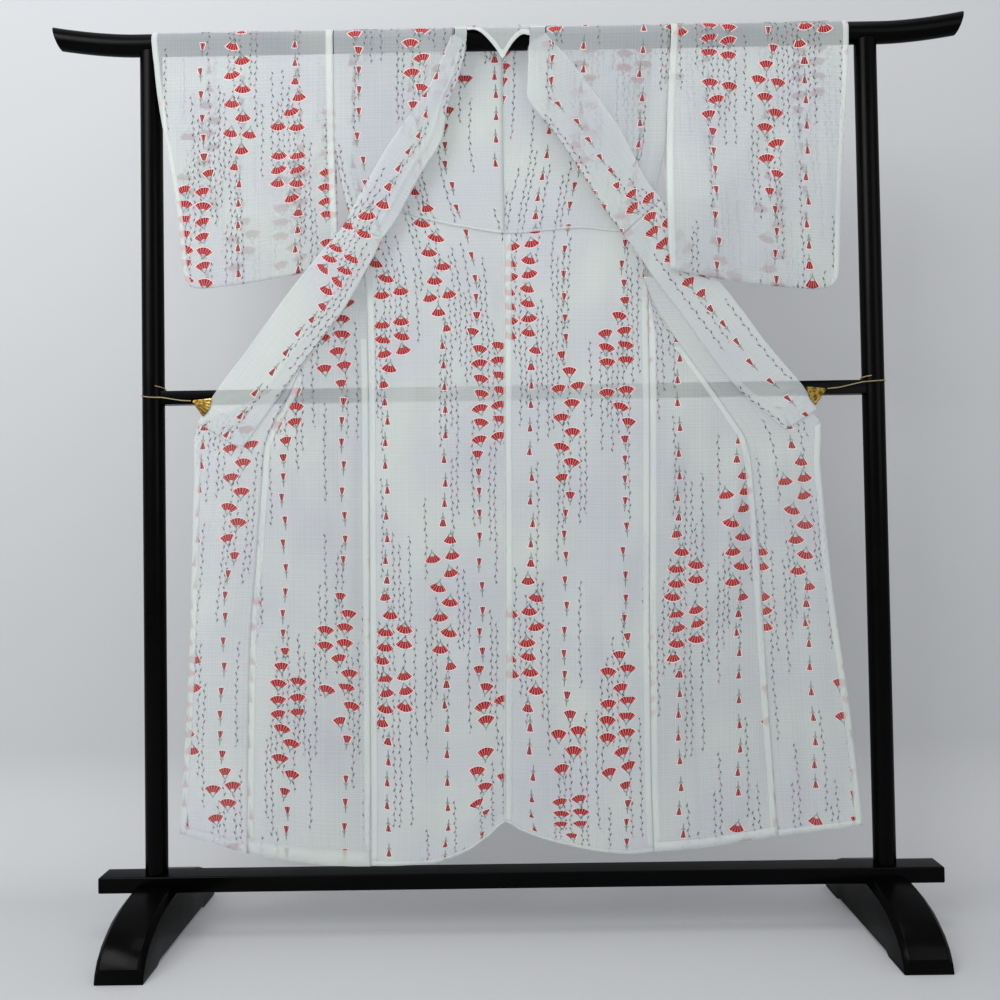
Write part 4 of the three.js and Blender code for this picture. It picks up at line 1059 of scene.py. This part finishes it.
def rail_ring(share):
    """The top rail's round at a share of its half length, its tips rising and cut back below."""
    reach = RAIL_LENGTH / 2

    def ring(a):
        y, up = RAIL_HALF_DEPTH * math.cos(a), RAIL_HALF_HEIGHT * math.sin(a)
        past = clamp((abs(share) * reach - RAIL_STRAIGHT) / (reach - RAIL_STRAIGHT))
        slant = RAIL_TIP_SLANT * (1 - up / RAIL_HALF_HEIGHT) / 2 if abs(share) > 0.99 else 0
        return (math.copysign(abs(share) * reach - slant, share), y, RAIL_Z + up + RAIL_TIP_RISE * past ** 1.7)

    return ring


tips = [-1, -0.985, -0.97, -0.95, -0.93, -0.91, -0.89, -0.87, -0.85, -0.83, -0.815]
turned_timber("rail_top", [rail_ring(s) for s in tips + [-s for s in reversed(tips)]])


def post_ring(side, z_of):
    def ring(a):
        y = POST_RADIUS * math.sin(a)
        return side * POST_X + POST_RADIUS * math.cos(a), y, z_of(y)

    return ring


def cope(y):
    """The post's top, hollowed to the underside of the rail."""
    k = 1 - (y / (RAIL_HALF_DEPTH + POST_GAP)) ** 2
    return min(POST_TOP_Z, RAIL_Z - (RAIL_HALF_HEIGHT + POST_GAP) * math.sqrt(k)) if k > 0 else POST_TOP_Z


for side, word in ((-1, "right"), (1, "left")):
    turned_timber("post_" + word, [post_ring(side, lambda y: BEAM_TOP_Z + 0.35), post_ring(side, lambda y: 1560),
                                   post_ring(side, cope)])
    for node, finish in (("clip_", gilt), ("string_", twine)):
        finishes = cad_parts[node + word].data.materials
        finishes.clear()
        finishes.append(finish)


# ---- floor, backdrop, light and camera ----

def pale_sweep():
    """A pale floor that curves up into the backdrop, which shows from its front alone, so that the back can be seen."""
    bm = bmesh.new()
    bmesh.ops.create_grid(bm, x_segments=2, y_segments=60, size=1)
    half_width, near, far, top, bend = 9, -4.5, 0.42, 4.2, 0.25
    for vert in bm.verts:
        t = (vert.co.y + 1) / 2
        vert.co.x *= half_width
        if t < 0.5:
            vert.co.y, vert.co.z = lerp(near, far - bend, t / 0.5), 0
        elif t < 0.75:
            a = (t - 0.5) / 0.25 * math.pi / 2
            vert.co.y, vert.co.z = far - bend + bend * math.sin(a), bend - bend * math.cos(a)
        else:
            vert.co.y, vert.co.z = far, lerp(bend, top, (t - 0.75) / 0.25)
    material, tree, shader, new, link = begun("pale_paper")
    material.use_transparent_shadow = False
    shader.inputs["Base Color"].default_value = linear(206, 208, 211)
    shader.inputs["Roughness"].default_value = 0.7
    either = new("ShaderNodeMixShader")
    link(new("ShaderNodeNewGeometry").outputs["Backfacing"], either.inputs[0])
    link(shader.outputs[0], either.inputs[1])
    link(new("ShaderNodeBsdfTransparent").outputs[0], either.inputs[2])
    link(either.outputs[0], tree.nodes["Material Output"].inputs["Surface"])
    shown("pale_sweep", bm, material)


pale_sweep()


def soft_light(name, place, aim, size, power, casts=True):
    data = bpy.data.lights.new(name, "AREA")
    data.shape = "RECTANGLE"
    data.size, data.size_y = size
    data.energy = power
    data.use_shadow = casts
    made = bpy.data.objects.new(name, data)
    made.location = place
    made.rotation_euler = (Vector(aim) - Vector(place)).to_track_quat("-Z", "Y").to_euler()
    scene.collection.objects.link(made)


soft_light("key", (-1.7, -2.6, 2.7), (0, 0, 0.9), (1.8, 1.6), 36)
soft_light("wash", (-2.3, -2.2, 2.2), (0, 0, 0.9), (1.8, 1.6), 34, casts=False)
soft_light("fill", (2.2, -2.4, 1.7), (0, 0, 0.8), (1.8, 1.8), 16, casts=False)
soft_light("top", (0, -0.6, 3.4), (0, 0.1, 0.8), (2.6, 1.4), 22)

world = bpy.data.worlds.new("studio")
world.use_nodes = True
sky = world.node_tree.nodes["Background"].inputs
sky["Color"].default_value = linear(242, 243, 244)
sky["Strength"].default_value = 0.4
scene.world = world
scene.view_settings.view_transform = "Standard"
for name, value in (("max_bounces", 1), ("diffuse_bounces", 1), ("glossy_bounces", 1),
                    ("transparent_max_bounces", 10), ("use_light_tree", False)):
    setattr(scene.cycles, name, value)

CAMERA = Vector((-0.0165, -1.840, 0.740))
YAW, PITCH, ROLL = (math.radians(a) for a in (-0.31, 1.37, 0.88))
look = Vector((math.sin(YAW) * math.cos(PITCH), math.cos(YAW) * math.cos(PITCH), math.sin(PITCH)))
level = Vector((math.cos(YAW), -math.sin(YAW), 0))
up = level.cross(look)
right = math.cos(ROLL) * level - math.sin(ROLL) * up
above = math.sin(ROLL) * level + math.cos(ROLL) * up
lens = bpy.data.cameras.new("photo_view")
lens.sensor_width = 36
lens.lens = 36.04
camera = bpy.data.objects.new("photo_view", lens)
camera.matrix_world = Matrix(((right.x, above.x, -look.x, CAMERA.x), (right.y, above.y, -look.y, CAMERA.y),
                              (right.z, above.z, -look.z, CAMERA.z), (0, 0, 0, 1)))
scene.collection.objects.link(camera)
scene.camera = camera
